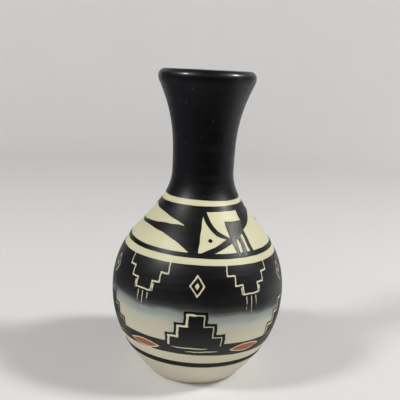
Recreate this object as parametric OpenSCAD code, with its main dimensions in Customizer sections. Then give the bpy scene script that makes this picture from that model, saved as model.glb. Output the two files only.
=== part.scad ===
// Long-necked clay vase with painted slip coats.
// Millimetres, +Z up, origin at the centre of the foot on the surface it stands on.
// Angles on the pot count from the front, which is -Y, towards +X.

/* [Clay body] */
// Height of the fired clay
pot_h = 190; // [180:1:205]
// Radius where the wall leaves the foot
foot_r = 30.5; // [27:0.5:34]
// Rounding of the foot's outer corner
foot_round = 2; // [1:0.1:3]
// Lean of the wall at the foot, from upright
foot_lean = 41.6; // [34:0.2:46]
// Largest radius of the belly
belly_r = 54.2; // [50:0.1:58]
// Height of the belly's largest radius
belly_z = 54.6; // [52:0.1:58]
// Smallest radius of the neck
waist_r = 18.5; // [16:0.1:21]
// Height of the neck's smallest radius
waist_z = 129.6; // [126:0.1:136]
// Outer radius of the lip
lip_r = 29.4; // [27:0.1:32]
// Radius of the rolled lip's rounding
lip_round = 3.9; // [3:0.1:5]
// Lean of the flare under the lip, from upright
lip_lean = 28; // [22:1:34]
// Thickness of the clay wall
wall = 4.5; // [3.5:0.1:6]
// Thickness of the floor, from the standing surface up
floor_t = 6; // [4.5:0.1:8]
// Size of the hollow's rounded lower corner
floor_fillet = 8; // [5:0.5:10]

/* [Curve pulls] */
// Pull of the wall up from the foot
foot_pull = 26.6; // [22:0.1:30]
// Pull of the belly downwards
belly_pull_down = 18.6; // [15:0.1:22]
// Pull of the belly upwards
belly_pull_up = 40.8; // [36:0.1:44]
// Pull of the neck downwards
waist_pull_down = 27.8; // [24:0.1:31]
// Pull of the neck upwards
waist_pull_up = 17.9; // [14:0.1:22]
// Pull of the flare down from the lip
lip_pull = 22.6; // [19:0.1:26]

/* [Foot] */
// Width of the ring that the pot stands on
ring_w = 7; // [5:0.5:10]
// Depth of the recess inside the ring
recess_depth = 1.5; // [0.8:0.1:2]

/* [Coats] */
// Thickness of a coat of slip
coat_t = 0.3; // [0.2:0.05:0.4]
// Depth of the neck coat inside the mouth, below the lip
mouth_depth = 12; // [8:0.5:20]
// Lower edge of the black neck
neck_edge = 114.7; // [113:0.1:117]
// Width of the cream stripe under the neck
neck_stripe = 3; // [2:0.1:4]
// Width of the black border under that stripe
upper_border = 2.9; // [2:0.1:3.5]
// Height of the shoulder band's cream field
field_h = 20.3; // [18:0.1:22]
// Width of the black border under the field
lower_border = 2.4; // [1.5:0.1:3]
// Width of the cream stripe under the shoulder
shoulder_stripe = 3.6; // [2.5:0.1:4.5]
// Lower edge of the belly panel
panel_edge = 28.2; // [27:0.1:30]
// Width of the cream stripe under the panel
panel_stripe = 6.3; // [5:0.1:7.5]
// Width of the dark stripe round the foot
foot_stripe_w = 3.6; // [2.5:0.1:4.5]

/* [Shoulder motif] */
// Number of motifs round the shoulder
motif_n = 2; // [1:1:2]
// Lean of the motif's spine, from top to bottom
spine_lean = 2.2; // [0:0.1:3]
// Reach of the long claw from the spine
claw_reach = 34.4; // [30:0.1:34.6]
// Hollow of the long claw's lower edge
claw_sag = 2.6; // [1.5:0.1:3.2]
// Bend in the long claw's upper edge, from the spine
claw_bend = 25; // [22:0.1:28]
// Reach of the upper claw from the spine
upper_reach = 25.4; // [22:0.1:25.6]
// Bend in the upper claw's lower edge, from the spine
upper_bend = 15.5; // [13:0.1:18]
// Depth of the notch between the claws, from the spine
notch_x = 8.9; // [6:0.1:12]
// Heel of the long claw on the border, from the spine
heel_x = 6.1; // [4:0.1:9]
// Start of the bowed bar at the field's top, from the spine
bow_x = 3.2; // [2.5:0.1:4.5]
// Corner of the cream triangle between bow and keel, from the spine
beak_x = 15.6; // [14:0.1:16.5]
// Sag of the bowed bar's two edges
bow_sag = 2.1; // [1.5:0.1:2.6]
// Width of the bow where it runs into the keel
bow_end = 1.6; // [1:0.1:2.2]
// Start of the keel on the border, from the spine
keel_x = 1.4; // [1:0.1:3]
// Width of the keel where it meets the border
keel_w = 7; // [5:0.1:8]
// Bend in the keel's upper edge, from the spine
keel_bend = 7; // [5:0.1:9]
// Radius of the dark wing
wing_r = 6.6; // [6:0.1:7]
// Place of the wing's centre, from the spine
wing_x = 22.1; // [21:0.1:23]
// Fall of the wing's centre below the field's top
wing_fall = 4.5; // [4:0.1:6]
// Start of the wing's straight edge at the field's top, from the spine
wing_edge_x = 20.5; // [19:0.1:21]
// Lean of the wing's straight edge, from upright
wing_lean = 26; // [22:0.5:28]
// Place of the first feather's foot, from the spine
feather_x = 23.1; // [22:0.1:24]
// Distance from one feather to the next
feather_pitch = 3.6; // [3:0.1:4.2]
// Width of a feather at its foot
feather_w = 2.3; // [1.5:0.1:2.6]
// Lean of the feathers, from upright
feather_lean = 27; // [24:0.5:30]
// Left end of the fan's top, from the spine
fan_x = 14.7; // [13:0.1:16]
// Width of the dark quill beside the feathers
quill_w = 1.2; // [0.8:0.1:1.6]
// Radius of the painted dot
dot_r = 1.1; // [0.8:0.1:1.6]
// Place of the dot, from the spine
dot_x = 5.8; // [5:0.1:7]

/* [Belly panel] */
// Height of the black ground above the panel's edge
ground_h = 8.6; // [7:0.1:11]
// Number of stepped terraces round the belly
terrace_n = 5; // [3:1:6]
// Number of steps in a terrace
step_n = 3; // [2:1:3]
// Width of a terrace at its lowest step
terrace_w = 36; // [30:0.5:40]
// Height of one step
step_h = 7; // [5:0.1:7.5]
// Setback of each step on either side
step_in = 5.5; // [4:0.1:6.5]
// Width of a rust lens
lens_w = 20; // [14:0.5:24]
// Height of a rust lens
lens_h = 4; // [3:0.1:5]

/* [Hidden] */
$fn = 120;

cream = "#dcd5b4";
black = "#1c1c1e";
grey = "#5f615d";
blue_grey = "#93a4a4";
rust = "#a5503a";
dark_line = "#2f2c22";

// Two heights closer than this are the same edge
same = 0.001;
// Largest height between two rings of a curved wall
ring_step = 2.6;
// Straight pieces in the lip's rounding, the foot's corner and the hollow's corner
lip_steps = 14;
corner_steps = 5;
fillet_steps = 6;
// How far a drawing runs past the field or the wall that it is cut from
past = 4;

// Edges of the painted bands, from the neck down
upper_border_top = neck_edge - neck_stripe;
field_top = upper_border_top - upper_border;
field_bottom = field_top - field_h;
lower_border_bottom = field_bottom - lower_border;
panel_top = lower_border_bottom - shoulder_stripe;
ground_top = panel_edge + ground_h;
foot_stripe_top = panel_edge - panel_stripe;
foot_stripe_bottom = foot_stripe_top - foot_stripe_w;
mouth_edge = pot_h - mouth_depth;

// A direction that leans outwards from upright by an angle
function leaning(angle) = [sin(angle), cos(angle)];
function unit(v) = v / norm(v);
function flipped(list) = [for (i = [len(list) - 1:-1:0]) list[i]];
function last(list) = list[len(list) - 1];

// A cubic curve's point, its direction, and the parameter at which it rises to a height
function curve_point(c, t) = c[0] * pow(1 - t, 3) + 3 * c[1] * t * pow(1 - t, 2)
    + 3 * c[2] * t * t * (1 - t) + c[3] * pow(t, 3);
function curve_heading(c, t) = unit((c[1] - c[0]) * pow(1 - t, 2) + 2 * (c[2] - c[1]) * t * (1 - t)
    + (c[3] - c[2]) * t * t);
function at_height(c, z, lo = 0, hi = 1, halvings = 30) = let (mid = (lo + hi) / 2)
    halvings == 0 ? mid
    : curve_point(c, mid).y < z ? at_height(c, z, mid, hi, halvings - 1)
    : at_height(c, z, lo, mid, halvings - 1);

// The wall's curves in radius and height: foot to belly, belly to waist, waist to lip, and the throat
foot_axis = [foot_r - foot_round * cos(foot_lean), foot_round];
foot_end = foot_axis + foot_round * [cos(foot_lean), -sin(foot_lean)];
lip_axis = [lip_r - lip_round, pot_h - lip_round];
flare_end = lip_axis + lip_round * [cos(lip_lean), -sin(lip_lean)];
mouth_end = lip_axis + lip_round * [-cos(lip_lean), sin(lip_lean)];
belly = [belly_r, belly_z];
waist = [waist_r, waist_z];
throat = [waist_r - wall, waist_z];
lower_wall = [foot_end, foot_end + foot_pull * leaning(foot_lean), belly - [0, belly_pull_down], belly];
shoulder_wall = [belly, belly + [0, belly_pull_up], waist - [0, waist_pull_down], waist];
flare_wall = [waist, waist + [0, waist_pull_up], flare_end - lip_pull * leaning(lip_lean), flare_end];
throat_wall = [throat, throat + [0, waist_pull_up], mouth_end - lip_pull * leaning(lip_lean), mouth_end];

// A spot is a point of the clay's surface with the direction out of the clay
function outer_wall(z) = z <= belly_z ? lower_wall : z <= waist_z ? shoulder_wall : flare_wall;
function outer_spot(z) = let (c = outer_wall(z), t = at_height(c, z), d = curve_heading(c, t))
    [curve_point(c, t), [d.y, -d.x]];
function throat_spot(z) = let (t = at_height(throat_wall, z), d = curve_heading(throat_wall, t))
    [curve_point(throat_wall, t), [-d.y, d.x]];
function round_spot(axis, r, angle) = let (d = [cos(angle), sin(angle)]) [axis + r * d, d];
function raised(spot, by = 0) = spot[0] + by * spot[1];

// Rings of the walls, placed so that every painted edge falls on one
function between(a, b) = let (n = ceil((b - a) / ring_step)) [for (i = [0:n - 1]) a + (b - a) * i / n];
function rings(edges) = concat([for (i = [0:len(edges) - 2]) each between(edges[i], edges[i + 1])],
                               [last(edges)]);
outer_heights = rings([foot_end.y, foot_stripe_bottom, foot_stripe_top, panel_edge, panel_top,
                       lower_border_bottom, field_bottom, field_top, upper_border_top, neck_edge,
                       waist_z, flare_end.y]);
throat_heights = rings([waist_z, mouth_edge, mouth_end.y]);
lip_spots = [for (i = [1:lip_steps - 1]) round_spot(lip_axis, lip_round, 180 * i / lip_steps - lip_lean)];
mouth_spots = [for (z = flipped(throat_heights)) if (z > waist_z + same) throat_spot(z)];

// The hollow follows the outer wall at the wall's thickness, down to a rounded floor
hollow_spots = [for (z = flipped(outer_heights)) if (z < waist_z + same) outer_spot(z)];
hollow = [for (s = hollow_spots) if (raised(s, -wall).y > floor_t + floor_fillet) s];
hollow_low = raised(last(hollow), -wall);
hollow_heading = [last(hollow)[1].y, -last(hollow)[1].x];
floor_end = [hollow_low.x - 2 * floor_fillet, floor_t];
floor_curve = [hollow_low, hollow_low + floor_fillet * hollow_heading,
               floor_end + [floor_fillet, 0], floor_end];

// The underside is a flat ring round a shallow recess
ring_inner = foot_axis.x - ring_w;
underside = [[0, recess_depth], [ring_inner - recess_depth, recess_depth], [ring_inner, 0]];
foot_corner = [for (i = [0:corner_steps - 1])
               raised(round_spot(foot_axis, foot_round, (90 - foot_lean) * i / corner_steps - 90))];

// A thin layer of slip on a chain of spots, as a flat section
module layer(spots) {
    polygon(concat([for (s = spots) raised(s)], [for (s = flipped(spots)) raised(s, coat_t)]));
}

// A belt of slip round the pot between two painted edges
module belt(bottom, top) {
    rotate_extrude() layer([for (z = outer_heights) if (z > bottom - same && z < top + same) outer_spot(z)]);
}

// A flat drawing, x to the right and y upwards, carried out through the wall from a distance off the axis
module carried(angle, from) {
    rotate([0, 0, angle]) translate([0, -from, 0]) rotate([90, 0, 0]) linear_extrude(belly_r) children();
}

// The slip between two painted edges where the drawing covers it, once for each motif
module drawn_belt(bottom, top) {
    intersection() {
        belt(bottom, top);
        union() {
            for (i = [0:motif_n - 1]) carried(i * 360 / motif_n, past) children();
        }
    }
}

module on_field() {
    drawn_belt(field_bottom, field_top) children();
}

// Heights in the shoulder field, as shares of it
function field(share) = field_bottom + share * field_h;
claw_z = field(0.47);
claw_bend_z = field(0.59);
notch_z = field(0.63);
upper_bend_z = field(0.78);
upper_z = field(0.94);
apex_z = field(0.91);
beak_z = field(0.32);
keel_z = field(0.24);
keel_bend_z = field(0.12);
fan_z = field(0.72);
fan_foot_z = field(0.375);
slit_z = field(0.3);
quill_z = field(0.56);
fan_side_z = field(0.44);
dot_z = field(0.315);

// The arc from a to b that bows to the right of the way by a sag: its radius and its centre
function arc_r(a, b, sag) = (pow(norm(b - a) / 2, 2) + sag * sag) / (2 * sag);
function arc_axis(a, b, sag) = let (d = unit(b - a))
    (a + b) / 2 + (arc_r(a, b, sag) - sag) * [-d.y, d.x];
module arc_disc(a, b, sag) {
    translate(arc_axis(a, b, sag)) circle(arc_r(a, b, sag));
}

// Places that the shoulder's shapes share
function spine(z) = [spine_lean * ((z - field_bottom) / field_h - 0.5), z];
claw_tip = [-claw_reach, claw_z];
claw_heel = [-heel_x, field_bottom];
apex = spine(apex_z);
beak = [beak_x, beak_z];
bow_top = [bow_x, field_top];
bow_tip = beak + bow_end * [1, 0.5];
wing_axis = [wing_x, field_top - wing_fall];
function wing_edge(z) = [wing_edge_x + (field_top - z) * tan(wing_lean), z];
function foot_at(x) = [x + past * tan(feather_lean), field_bottom - past];

// Two claws that reach left from an upright spine, the long one hollowed below
module claws() {
    difference() {
        polygon([spine(field_top + past), spine(field_bottom - past), claw_heel - [0, past], claw_heel,
                 claw_tip, [-claw_bend, claw_bend_z], [-notch_x, notch_z], [-upper_bend, upper_bend_z],
                 [-upper_reach, upper_z], [-upper_reach, field_top + past]]);
        arc_disc(claw_heel, claw_tip, claw_sag);
    }
}

// The bowed bar is what one disc leaves of another, from inside the claws to inside the keel
module bow() {
    left = [past, 0];
    intersection() {
        difference() {
            arc_disc(apex, beak, bow_sag);
            arc_disc(bow_top, bow_tip, bow_sag);
        }
        polygon([spine(field_top + past) - left, bow_top + [0, past], bow_tip, [beak_x, keel_z], beak,
                 spine(beak_z) - left]);
    }
}

// The keel runs from the beak back to the border
module keel() {
    polygon([beak, bow_tip, [fan_left(keel_z).x, keel_z], [keel_x + keel_w, field_bottom],
             [keel_x + keel_w, field_bottom - past], [keel_x, field_bottom - past],
             [keel_x, field_bottom], [keel_bend, keel_bend_z]]);
}

// The dark wing, round on its right and straight on its left, with the quill below it
module wing() {
    intersection() {
        translate(wing_axis) circle(wing_r);
        polygon([wing_edge(field_top + past), wing_edge(field_bottom), [belly_r, field_bottom],
                 [belly_r, field_top + past]]);
    }
}

module quill() {
    across = [quill_w, 0];
    foot = wing_edge(field_bottom - past);
    polygon([wing_edge(quill_z), wing_edge(quill_z) + across, foot + across, foot]);
}

// The grey fan against the wing, with the two feathers that hang from it
fan_corner = [fan_x, fan_z];
first_foot = foot_at(feather_x - feather_w / 2);
function fan_left(z) = fan_corner + (first_foot - fan_corner) * (fan_z - z) / (fan_z - first_foot.y);
module grey_shapes() {
    side = feather_w / 2;
    second_x = feather_x + feather_pitch;
    polygon([fan_corner, wing_edge(fan_z), wing_edge(fan_side_z), [feather_x, fan_foot_z],
             foot_at(second_x + side), foot_at(second_x - side),
             [feather_x - side, slit_z], foot_at(feather_x + side), first_foot]);
}

module dark_shapes() {
    claws();
    wing();
    difference() {
        union() {
            bow();
            keel();
            quill();
        }
        grey_shapes();
    }
}

// Half the angle that a terrace's step takes on the belly, counted from the lowest step
function half_angle(i) = (terrace_w / 2 - i * step_in) / belly_r * 180 / PI;
terrace_angle = 360 / terrace_n;

// The space of the ground and the terraces that stand on it, out past the wall
module ground_and_terraces() {
    bottom = panel_edge - past;
    translate([0, 0, bottom]) cylinder(r = belly_r + past, h = ground_top - bottom);
    for (k = [0:terrace_n - 1], i = [0:step_n - 1]) {
        rotate([0, 0, k * terrace_angle - half_angle(i) - 90]) rotate_extrude(angle = 2 * half_angle(i))
            translate([waist_r, bottom]) square([belly_r, ground_top + (i + 1) * step_h - bottom]);
    }
}

// A lens between two equal arcs, a little below the middle of the ground between the terraces
lens_half = [lens_w / 2, lens_h / 2];
lens_r = (lens_half * lens_half) / lens_h;
lens_share = 0.46;
lens_z = panel_edge + lens_share * ground_h;
module lenses() {
    for (k = [0:terrace_n - 1]) {
        carried((k + 0.5) * terrace_angle, foot_r) translate([0, lens_z]) intersection() {
            translate([0, lens_half.y - lens_r]) circle(lens_r);
            translate([0, lens_r - lens_half.y]) circle(lens_r);
        }
    }
}

module clay_body() {
    color(cream) rotate_extrude() polygon(concat(
        underside, foot_corner,
        [for (z = outer_heights) raised(outer_spot(z))],
        [for (s = lip_spots) raised(s)],
        [for (s = mouth_spots) raised(s)],
        [for (s = hollow) raised(s, -wall)],
        [for (i = [1:fillet_steps]) curve_point(floor_curve, i / fillet_steps)],
        [[0, floor_t]]));
}

module neck_coat() {
    color(black) rotate_extrude() layer(concat(
        [for (z = outer_heights) if (z > neck_edge - same) outer_spot(z)],
        lip_spots,
        [for (s = mouth_spots) if (raised(s).y > mouth_edge - same) s]));
}

module shoulder_coat() {
    color(black) {
        belt(field_top, upper_border_top);
        drawn_belt(lower_border_bottom, upper_border_top) dark_shapes();
        belt(lower_border_bottom, field_bottom);
    }
}

module shoulder_dots() {
    color(black) on_field() translate([dot_x, dot_z]) circle(dot_r);
}

module feather_coat() {
    color(grey) on_field() grey_shapes();
}

module fade_coat() {
    color(blue_grey) difference() {
        belt(panel_edge, panel_top);
        ground_and_terraces();
    }
}

module terrace_coat() {
    color(black) difference() {
        intersection() {
            belt(panel_edge, panel_top);
            ground_and_terraces();
        }
        lenses();
    }
}

module rust_coat() {
    color(rust) intersection() {
        belt(panel_edge, panel_top);
        lenses();
    }
}

module foot_stripe() {
    color(dark_line) belt(foot_stripe_bottom, foot_stripe_top);
}

clay_body();
neck_coat();
shoulder_coat();
shoulder_dots();
feather_coat();
fade_coat();
terrace_coat();
rust_coat();
foot_stripe();
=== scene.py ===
"""Looks of the long-necked clay vase: the turned clay, its coats of slip, the studio and the camera.

Everything is in metres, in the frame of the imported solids: +Z up, the front at -Y and +X to the
viewer's right. A turn is an angle round the pot, counted from the front towards +X. A depth is a
signed distance to a painted edge: positive on the paint, negative off it.
"""
import logging
from dataclasses import dataclass, replace
from enum import Enum
from functools import cache, reduce
from math import cos, hypot, pi, radians, sin
from operator import add
from typing import Callable, Iterable, Mapping, Optional, Sequence, Union

import bpy
import numpy as np
from mathutils import Matrix, Vector


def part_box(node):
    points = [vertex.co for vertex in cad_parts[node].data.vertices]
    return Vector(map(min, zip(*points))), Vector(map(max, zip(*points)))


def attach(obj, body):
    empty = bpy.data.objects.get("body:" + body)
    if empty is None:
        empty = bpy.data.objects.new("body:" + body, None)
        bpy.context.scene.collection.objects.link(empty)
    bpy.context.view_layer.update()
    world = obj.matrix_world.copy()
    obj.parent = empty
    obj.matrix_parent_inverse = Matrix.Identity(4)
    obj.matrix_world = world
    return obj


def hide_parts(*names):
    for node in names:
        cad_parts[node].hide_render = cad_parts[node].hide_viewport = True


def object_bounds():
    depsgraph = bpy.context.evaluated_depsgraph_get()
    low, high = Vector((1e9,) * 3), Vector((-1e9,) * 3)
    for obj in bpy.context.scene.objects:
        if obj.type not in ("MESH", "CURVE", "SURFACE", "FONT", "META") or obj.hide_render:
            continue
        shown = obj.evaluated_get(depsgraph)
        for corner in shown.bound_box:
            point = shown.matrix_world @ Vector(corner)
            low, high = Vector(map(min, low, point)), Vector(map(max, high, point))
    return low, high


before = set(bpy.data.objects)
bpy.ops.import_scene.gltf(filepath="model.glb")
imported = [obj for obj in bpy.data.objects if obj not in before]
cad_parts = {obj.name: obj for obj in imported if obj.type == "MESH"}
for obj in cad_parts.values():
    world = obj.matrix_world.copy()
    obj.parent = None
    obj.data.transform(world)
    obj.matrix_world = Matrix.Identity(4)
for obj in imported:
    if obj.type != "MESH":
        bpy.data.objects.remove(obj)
CAD_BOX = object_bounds()

MM = 0.001
PACKED_SLIP_T = 0.3 * MM
BAKE_MAP = "OFBake"
INSET = "inset_mm"
SHADE = "shade"
LOG = logging.getLogger("vase")

Array = np.ndarray
Colour = tuple[float, float, float]
Point = tuple[float, float]
Triple = tuple[float, float, float]

# A grid's step from row to row and its columns round the pot
Fineness = tuple[float, int]


class Taper(Enum):
    """How a scratched stroke thins along its length."""

    EVEN = "the same width from end to end"
    POINTED = "full at its start, thin at its end"
    LEAF = "full in its middle, thin at both ends"


class Side(Enum):
    """The two faces of the pot that carry the shoulder's drawing, as the sign of the drawing's x."""

    FRONT = 1
    BACK = -1


# Curves and chains of the clay's section


def bezier(start: Point, pull: Point, reach: Point, end: Point, count: int = 160) -> Array:
    """A cubic curve: (1-t)^3 a + 3t(1-t)^2 b + 3t^2(1-t) c + t^3 d over four points.

    Args:
        start, pull, reach, end: the curve's four points, in radius and height.
        count: how many points to give.

    Returns:
        Points in rows of radius and height.
    """
    t = np.linspace(0.0, 1.0, count)[:, None]
    a, b, c, d = (np.asarray(p, float) for p in (start, pull, reach, end))
    return a * (1 - t) ** 3 + 3 * b * t * (1 - t) ** 2 + 3 * c * t * t * (1 - t) + d * t**3


def arc(axis: Point, radius: float, first: float, last: float, count: int = 60) -> Array:
    """Points at one radius round an axis point, from one angle to another, in degrees."""
    angle = np.radians(np.linspace(first, last, count))
    return np.asarray(axis) + radius * np.stack([np.cos(angle), np.sin(angle)], -1)


def joined(*stretches: Array) -> Array:
    """Stretches of one line end to end, each without the point that it shares with the one before."""
    return np.concatenate([stretches[0], *(s[1:] for s in stretches[1:])])


@dataclass(frozen=True)
class Chain:
    """A line along the clay's skin: radius, height, the way out of the clay and the distance walked."""

    r: Array
    z: Array
    out_r: Array
    out_z: Array
    walked: Array

    @classmethod
    def through(cls, points: Array) -> "Chain":
        """Walks along points; the way out is the line's heading turned a quarter to the right.

        Args:
            points: rows of radius and height, with the clay on the left.

        Returns:
            The chain.
        """
        steps = np.linalg.norm(np.diff(points, axis=0), axis=1)
        walked = np.concatenate([[0.0], np.cumsum(steps)])
        heading = np.gradient(points, walked, axis=0)
        heading /= np.linalg.norm(heading, axis=1)[:, None]
        return cls(points[:, 0], points[:, 1], heading[:, 1], -heading[:, 0], walked)

    def walk_to(self, height: float) -> float:
        """Distance walked to a height on the outside of the pot, below the lip's crest."""
        crest = int(np.argmax(self.z)) + 1
        return float(np.interp(height, self.z[:crest], self.walked[:crest]))


@dataclass(frozen=True)
class Wall:
    """The clay's section: foot, three joined curves, rolled lip, throat, hollow and floor.

    The lip is one round over its crest, and a larger one down its outer side. A pull is how far a
    curve's handle reaches from its end.
    """

    height: float
    belly_r: float
    lip_r: float
    foot_r: float = 30.5 * MM
    foot_round: float = 2 * MM
    foot_lean: float = radians(41.6)
    belly_z: float = 54.6 * MM
    waist_r: float = 18.8 * MM
    waist_z: float = 129.6 * MM
    lip_round: float = 3.8 * MM
    lip_side: float = 8 * MM
    lip_lean: float = radians(25.5)
    thickness: float = 4.5 * MM
    floor_t: float = 6 * MM
    floor_fillet: float = 8 * MM
    foot_pull: float = 26.6 * MM
    belly_pull_down: float = 18.6 * MM
    belly_pull_up: float = 40.8 * MM
    waist_pull_down: float = 27.8 * MM
    waist_pull_up: float = 17.9 * MM
    lip_pull: float = 22.6 * MM
    ring_w: float = 7 * MM
    recess_depth: float = 1.5 * MM

    @classmethod
    def from_frame(cls) -> "Wall":
        """The section at the imported clay's height and widths, with the lip inside its coat."""
        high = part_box("clay_body")[1]
        return cls(float(high[2]), float(high[0]), float(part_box("neck_coat")[1][0]) - PACKED_SLIP_T)

    @property
    def lip_axis(self) -> Point:
        """Centre of the lip's rounding."""
        return self.lip_r - self.lip_round, self.height - self.lip_round

    @property
    def foot_axis(self) -> Point:
        """Centre of the foot's rounded corner."""
        return self.foot_r - self.foot_round * cos(self.foot_lean), self.foot_round

    def _flare(self, waist: Point, end: Array) -> Array:
        """The curve from the waist up to a place on the lip, which it reaches along the lip's lean."""
        lean = np.array([sin(self.lip_lean), cos(self.lip_lean)])
        return bezier(waist, (waist[0], waist[1] + self.waist_pull_up), end - self.lip_pull * lean, end)

    def _body(self) -> Array:
        """The two curves from the foot's corner over the belly to the waist.

        Returns:
            Points in rows of radius and height.
        """
        lean = np.array([sin(self.foot_lean), cos(self.foot_lean)])
        foot = np.asarray(self.foot_axis) + self.foot_round * np.array([lean[1], -lean[0]])
        belly, waist = (self.belly_r, self.belly_z), (self.waist_r, self.waist_z)
        under = (self.belly_r, self.belly_z - self.belly_pull_down)
        over = (self.belly_r, self.belly_z + self.belly_pull_up)
        below_waist = (self.waist_r, self.waist_z - self.waist_pull_down)
        lower = bezier(foot, foot + self.foot_pull * lean, under, belly)
        return joined(lower, bezier(belly, over, below_waist, waist))

    def outside(self) -> Array:
        """From the foot's corner up the outside, over the lip and down the throat to the waist.

        Returns:
            Points in rows of radius and height.
        """
        lean = np.degrees(self.lip_lean)
        corner = arc(self.foot_axis, self.foot_round, -90, -np.degrees(self.foot_lean), count=20)
        side = arc((self.lip_r - self.lip_side, self.lip_axis[1]), self.lip_side, -lean, 0, count=30)
        flare = self._flare((self.waist_r, self.waist_z), side[0])
        lip = arc(self.lip_axis, self.lip_round, 0, 180 - lean)
        throat = self._flare((self.waist_r - self.thickness, self.waist_z), lip[-1])[::-1]
        return joined(corner, self._body(), flare, side, lip, throat)

    def inside(self) -> Array:
        """From the waist down the hollow, a wall's thickness in from the outside, to the floor's middle.

        Returns:
            Points in rows of radius and height.
        """
        body = Chain.through(self._body())
        hollow = np.stack([body.r - self.thickness * body.out_r, body.z - self.thickness * body.out_z], -1)
        hollow = hollow[hollow[:, 1] > self.floor_t + self.floor_fillet][::-1]
        low, heading = hollow[-1], hollow[-1] - hollow[-2]
        heading = heading / np.linalg.norm(heading)
        end = np.array([low[0] - 2 * self.floor_fillet, self.floor_t])
        fillet = bezier(low, low + self.floor_fillet * heading, end + [self.floor_fillet, 0], end, count=30)
        return joined(hollow, fillet, np.linspace(end, (0.0, self.floor_t), num=16))

    def underside(self) -> Array:
        """From the middle of the recess out to the foot's corner, with the ring's two edges eased.

        Returns:
            Points in rows of radius and height.
        """
        ring = self.foot_axis[0] - self.ring_w
        corners = np.array([[0, self.recess_depth], [ring - self.recess_depth, self.recess_depth],
                            [ring, 0], [self.foot_axis[0], 0]])
        walked = np.concatenate([[0], np.cumsum(np.hypot(*np.diff(corners, axis=0).T))])
        steps = np.linspace(0, walked[-1], num=90)
        line = np.stack([np.interp(steps, walked, corners[:, k]) for k in (0, 1)], -1)
        line[1:-1] = (line[:-2] + 2 * line[1:-1] + line[2:]) / 4
        return line


# Spots on the skin, painted edges and drawn shapes


# The clay's lack of roundness, and its waves: share, count round the pot and radians a metre up it
OUT_OF_ROUND = 0.0022
ROUND_WAVES = ((0.3, 2, 21.0), (0.2, 3, -34.0))

# The waves of a painted edge: share, count round the pot and times that the edge's phase goes in
WAVER_WAVES = ((0.5, 4, 1.7), (0.3, 11, 2.7), (0.2, 27, 3.7))


@dataclass(frozen=True)
class Spots:
    """Places on the clay's skin, as arrays of one shape."""

    turn: Array
    walked: Array
    r: Array
    z: Array
    out_r: Array
    out_z: Array

    @classmethod
    def on(cls, chain: Chain, turn: Array, walked: Array) -> "Spots":
        """Spots at turns and distances walked, by straight interpolation along the chain."""
        parts = (chain.r, chain.z, chain.out_r, chain.out_z)
        return cls(turn, walked, *(np.interp(walked, chain.walked, part) for part in parts))

    @classmethod
    def rows(cls, chain: Chain, rows: Array, cols: int) -> "Spots":
        """A grid that closes round the pot, with a row at each distance walked along the chain."""
        turns = np.linspace(-pi, pi, cols, endpoint=False)
        return cls.on(chain, *np.meshgrid(turns, rows))

    @classmethod
    def grid(cls, chain: Chain, first: float, last: float, step: float, cols: int) -> "Spots":
        """A grid of rows along the chain and columns round the pot, which closes on itself.

        Args:
            chain: the line that the rows follow.
            first, last: distances walked to the first and last row.
            step: distance from row to row.
            cols: columns round the pot.

        Returns:
            Spots in arrays of rows by columns.
        """
        count = int(np.ceil((last - first) / step)) + 1
        return cls.rows(chain, np.linspace(first, last, count), cols)

    @property
    def x(self) -> Array:
        """Distance to the right of the axis, seen from the front."""
        return self.r * np.sin(self.turn)

    @property
    def near(self) -> Array:
        """Distance from the axis towards the front."""
        return self.r * np.cos(self.turn)

    def lifted(self, by: Union[float, Array]) -> Array:
        """Points at a distance out of the clay.

        Thrown clay is never quite round: the radius shrinks by OUT_OF_ROUND times the sum of a half
        and two slow waves of turn and height.

        Args:
            by: the distance.

        Returns:
            Points in rows of x, y and z.
        """
        waves = sum(share * np.sin(count * self.turn + rise * self.z) for share, count, rise in ROUND_WAVES)
        r = (self.r + by * self.out_r) * (1 - OUT_OF_ROUND * (0.5 + waves))
        return np.stack([r * np.sin(self.turn), -r * np.cos(self.turn), self.z + by * self.out_z], -1)

    def ways_out(self) -> Array:
        """Unit vectors out of the clay."""
        ways = np.stack([self.out_r * np.sin(self.turn), -self.out_r * np.cos(self.turn), self.out_z], -1)
        return ways / np.linalg.norm(ways, axis=-1, keepdims=True)


class Line(Enum):
    """The painted edges round the pot: each one's tilt along x, its droop and its waver's phase."""

    NECK_FOOT = (-0.0251, 0.36 * MM, 1.1)
    SHOULDER_TOP = (-0.0057, 0.20 * MM, 2.3)
    FIELD_TOP = (-0.0060, 0.20 * MM, 3.1)
    FIELD_BOTTOM = (-0.0135, 0.12 * MM, 0.4)
    SHOULDER_FOOT = (-0.0179, 0.09 * MM, 5.2)
    PANEL_TOP = (-0.0140, 0.47 * MM, 0.9)
    GROUND_TOP = (-0.0280, 1.60 * MM, 3.7)
    PANEL_EDGE = (-0.0302, 1.90 * MM, 4.4)
    STRIPE_TOP = (-0.0223, 1.20 * MM, 2.9)
    STRIPE_BOTTOM = (-0.0138, 0.90 * MM, 1.6)

    def above(self, at: Spots, mean: float, waver: float = 0.12 * MM) -> Array:
        """How far spots lie above the edge, as a hand leaves it on a slowly turned pot.

        The edge's height is mean + tilt x + droop cos(2 turn) / 2 + waver, and the waver is the sum of
        three waves of the turn.

        Args:
            at: the spots.
            mean: the edge's mean height.
            waver: the waves' height.

        Returns:
            Heights above the edge.
        """
        tilt, droop, phase = self.value
        waves = sum(share * np.sin(count * at.turn + shift * phase) for share, count, shift in WAVER_WAVES)
        return at.z - mean - tilt * at.x - droop * np.cos(2 * at.turn) / 2 - waver * waves


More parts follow.
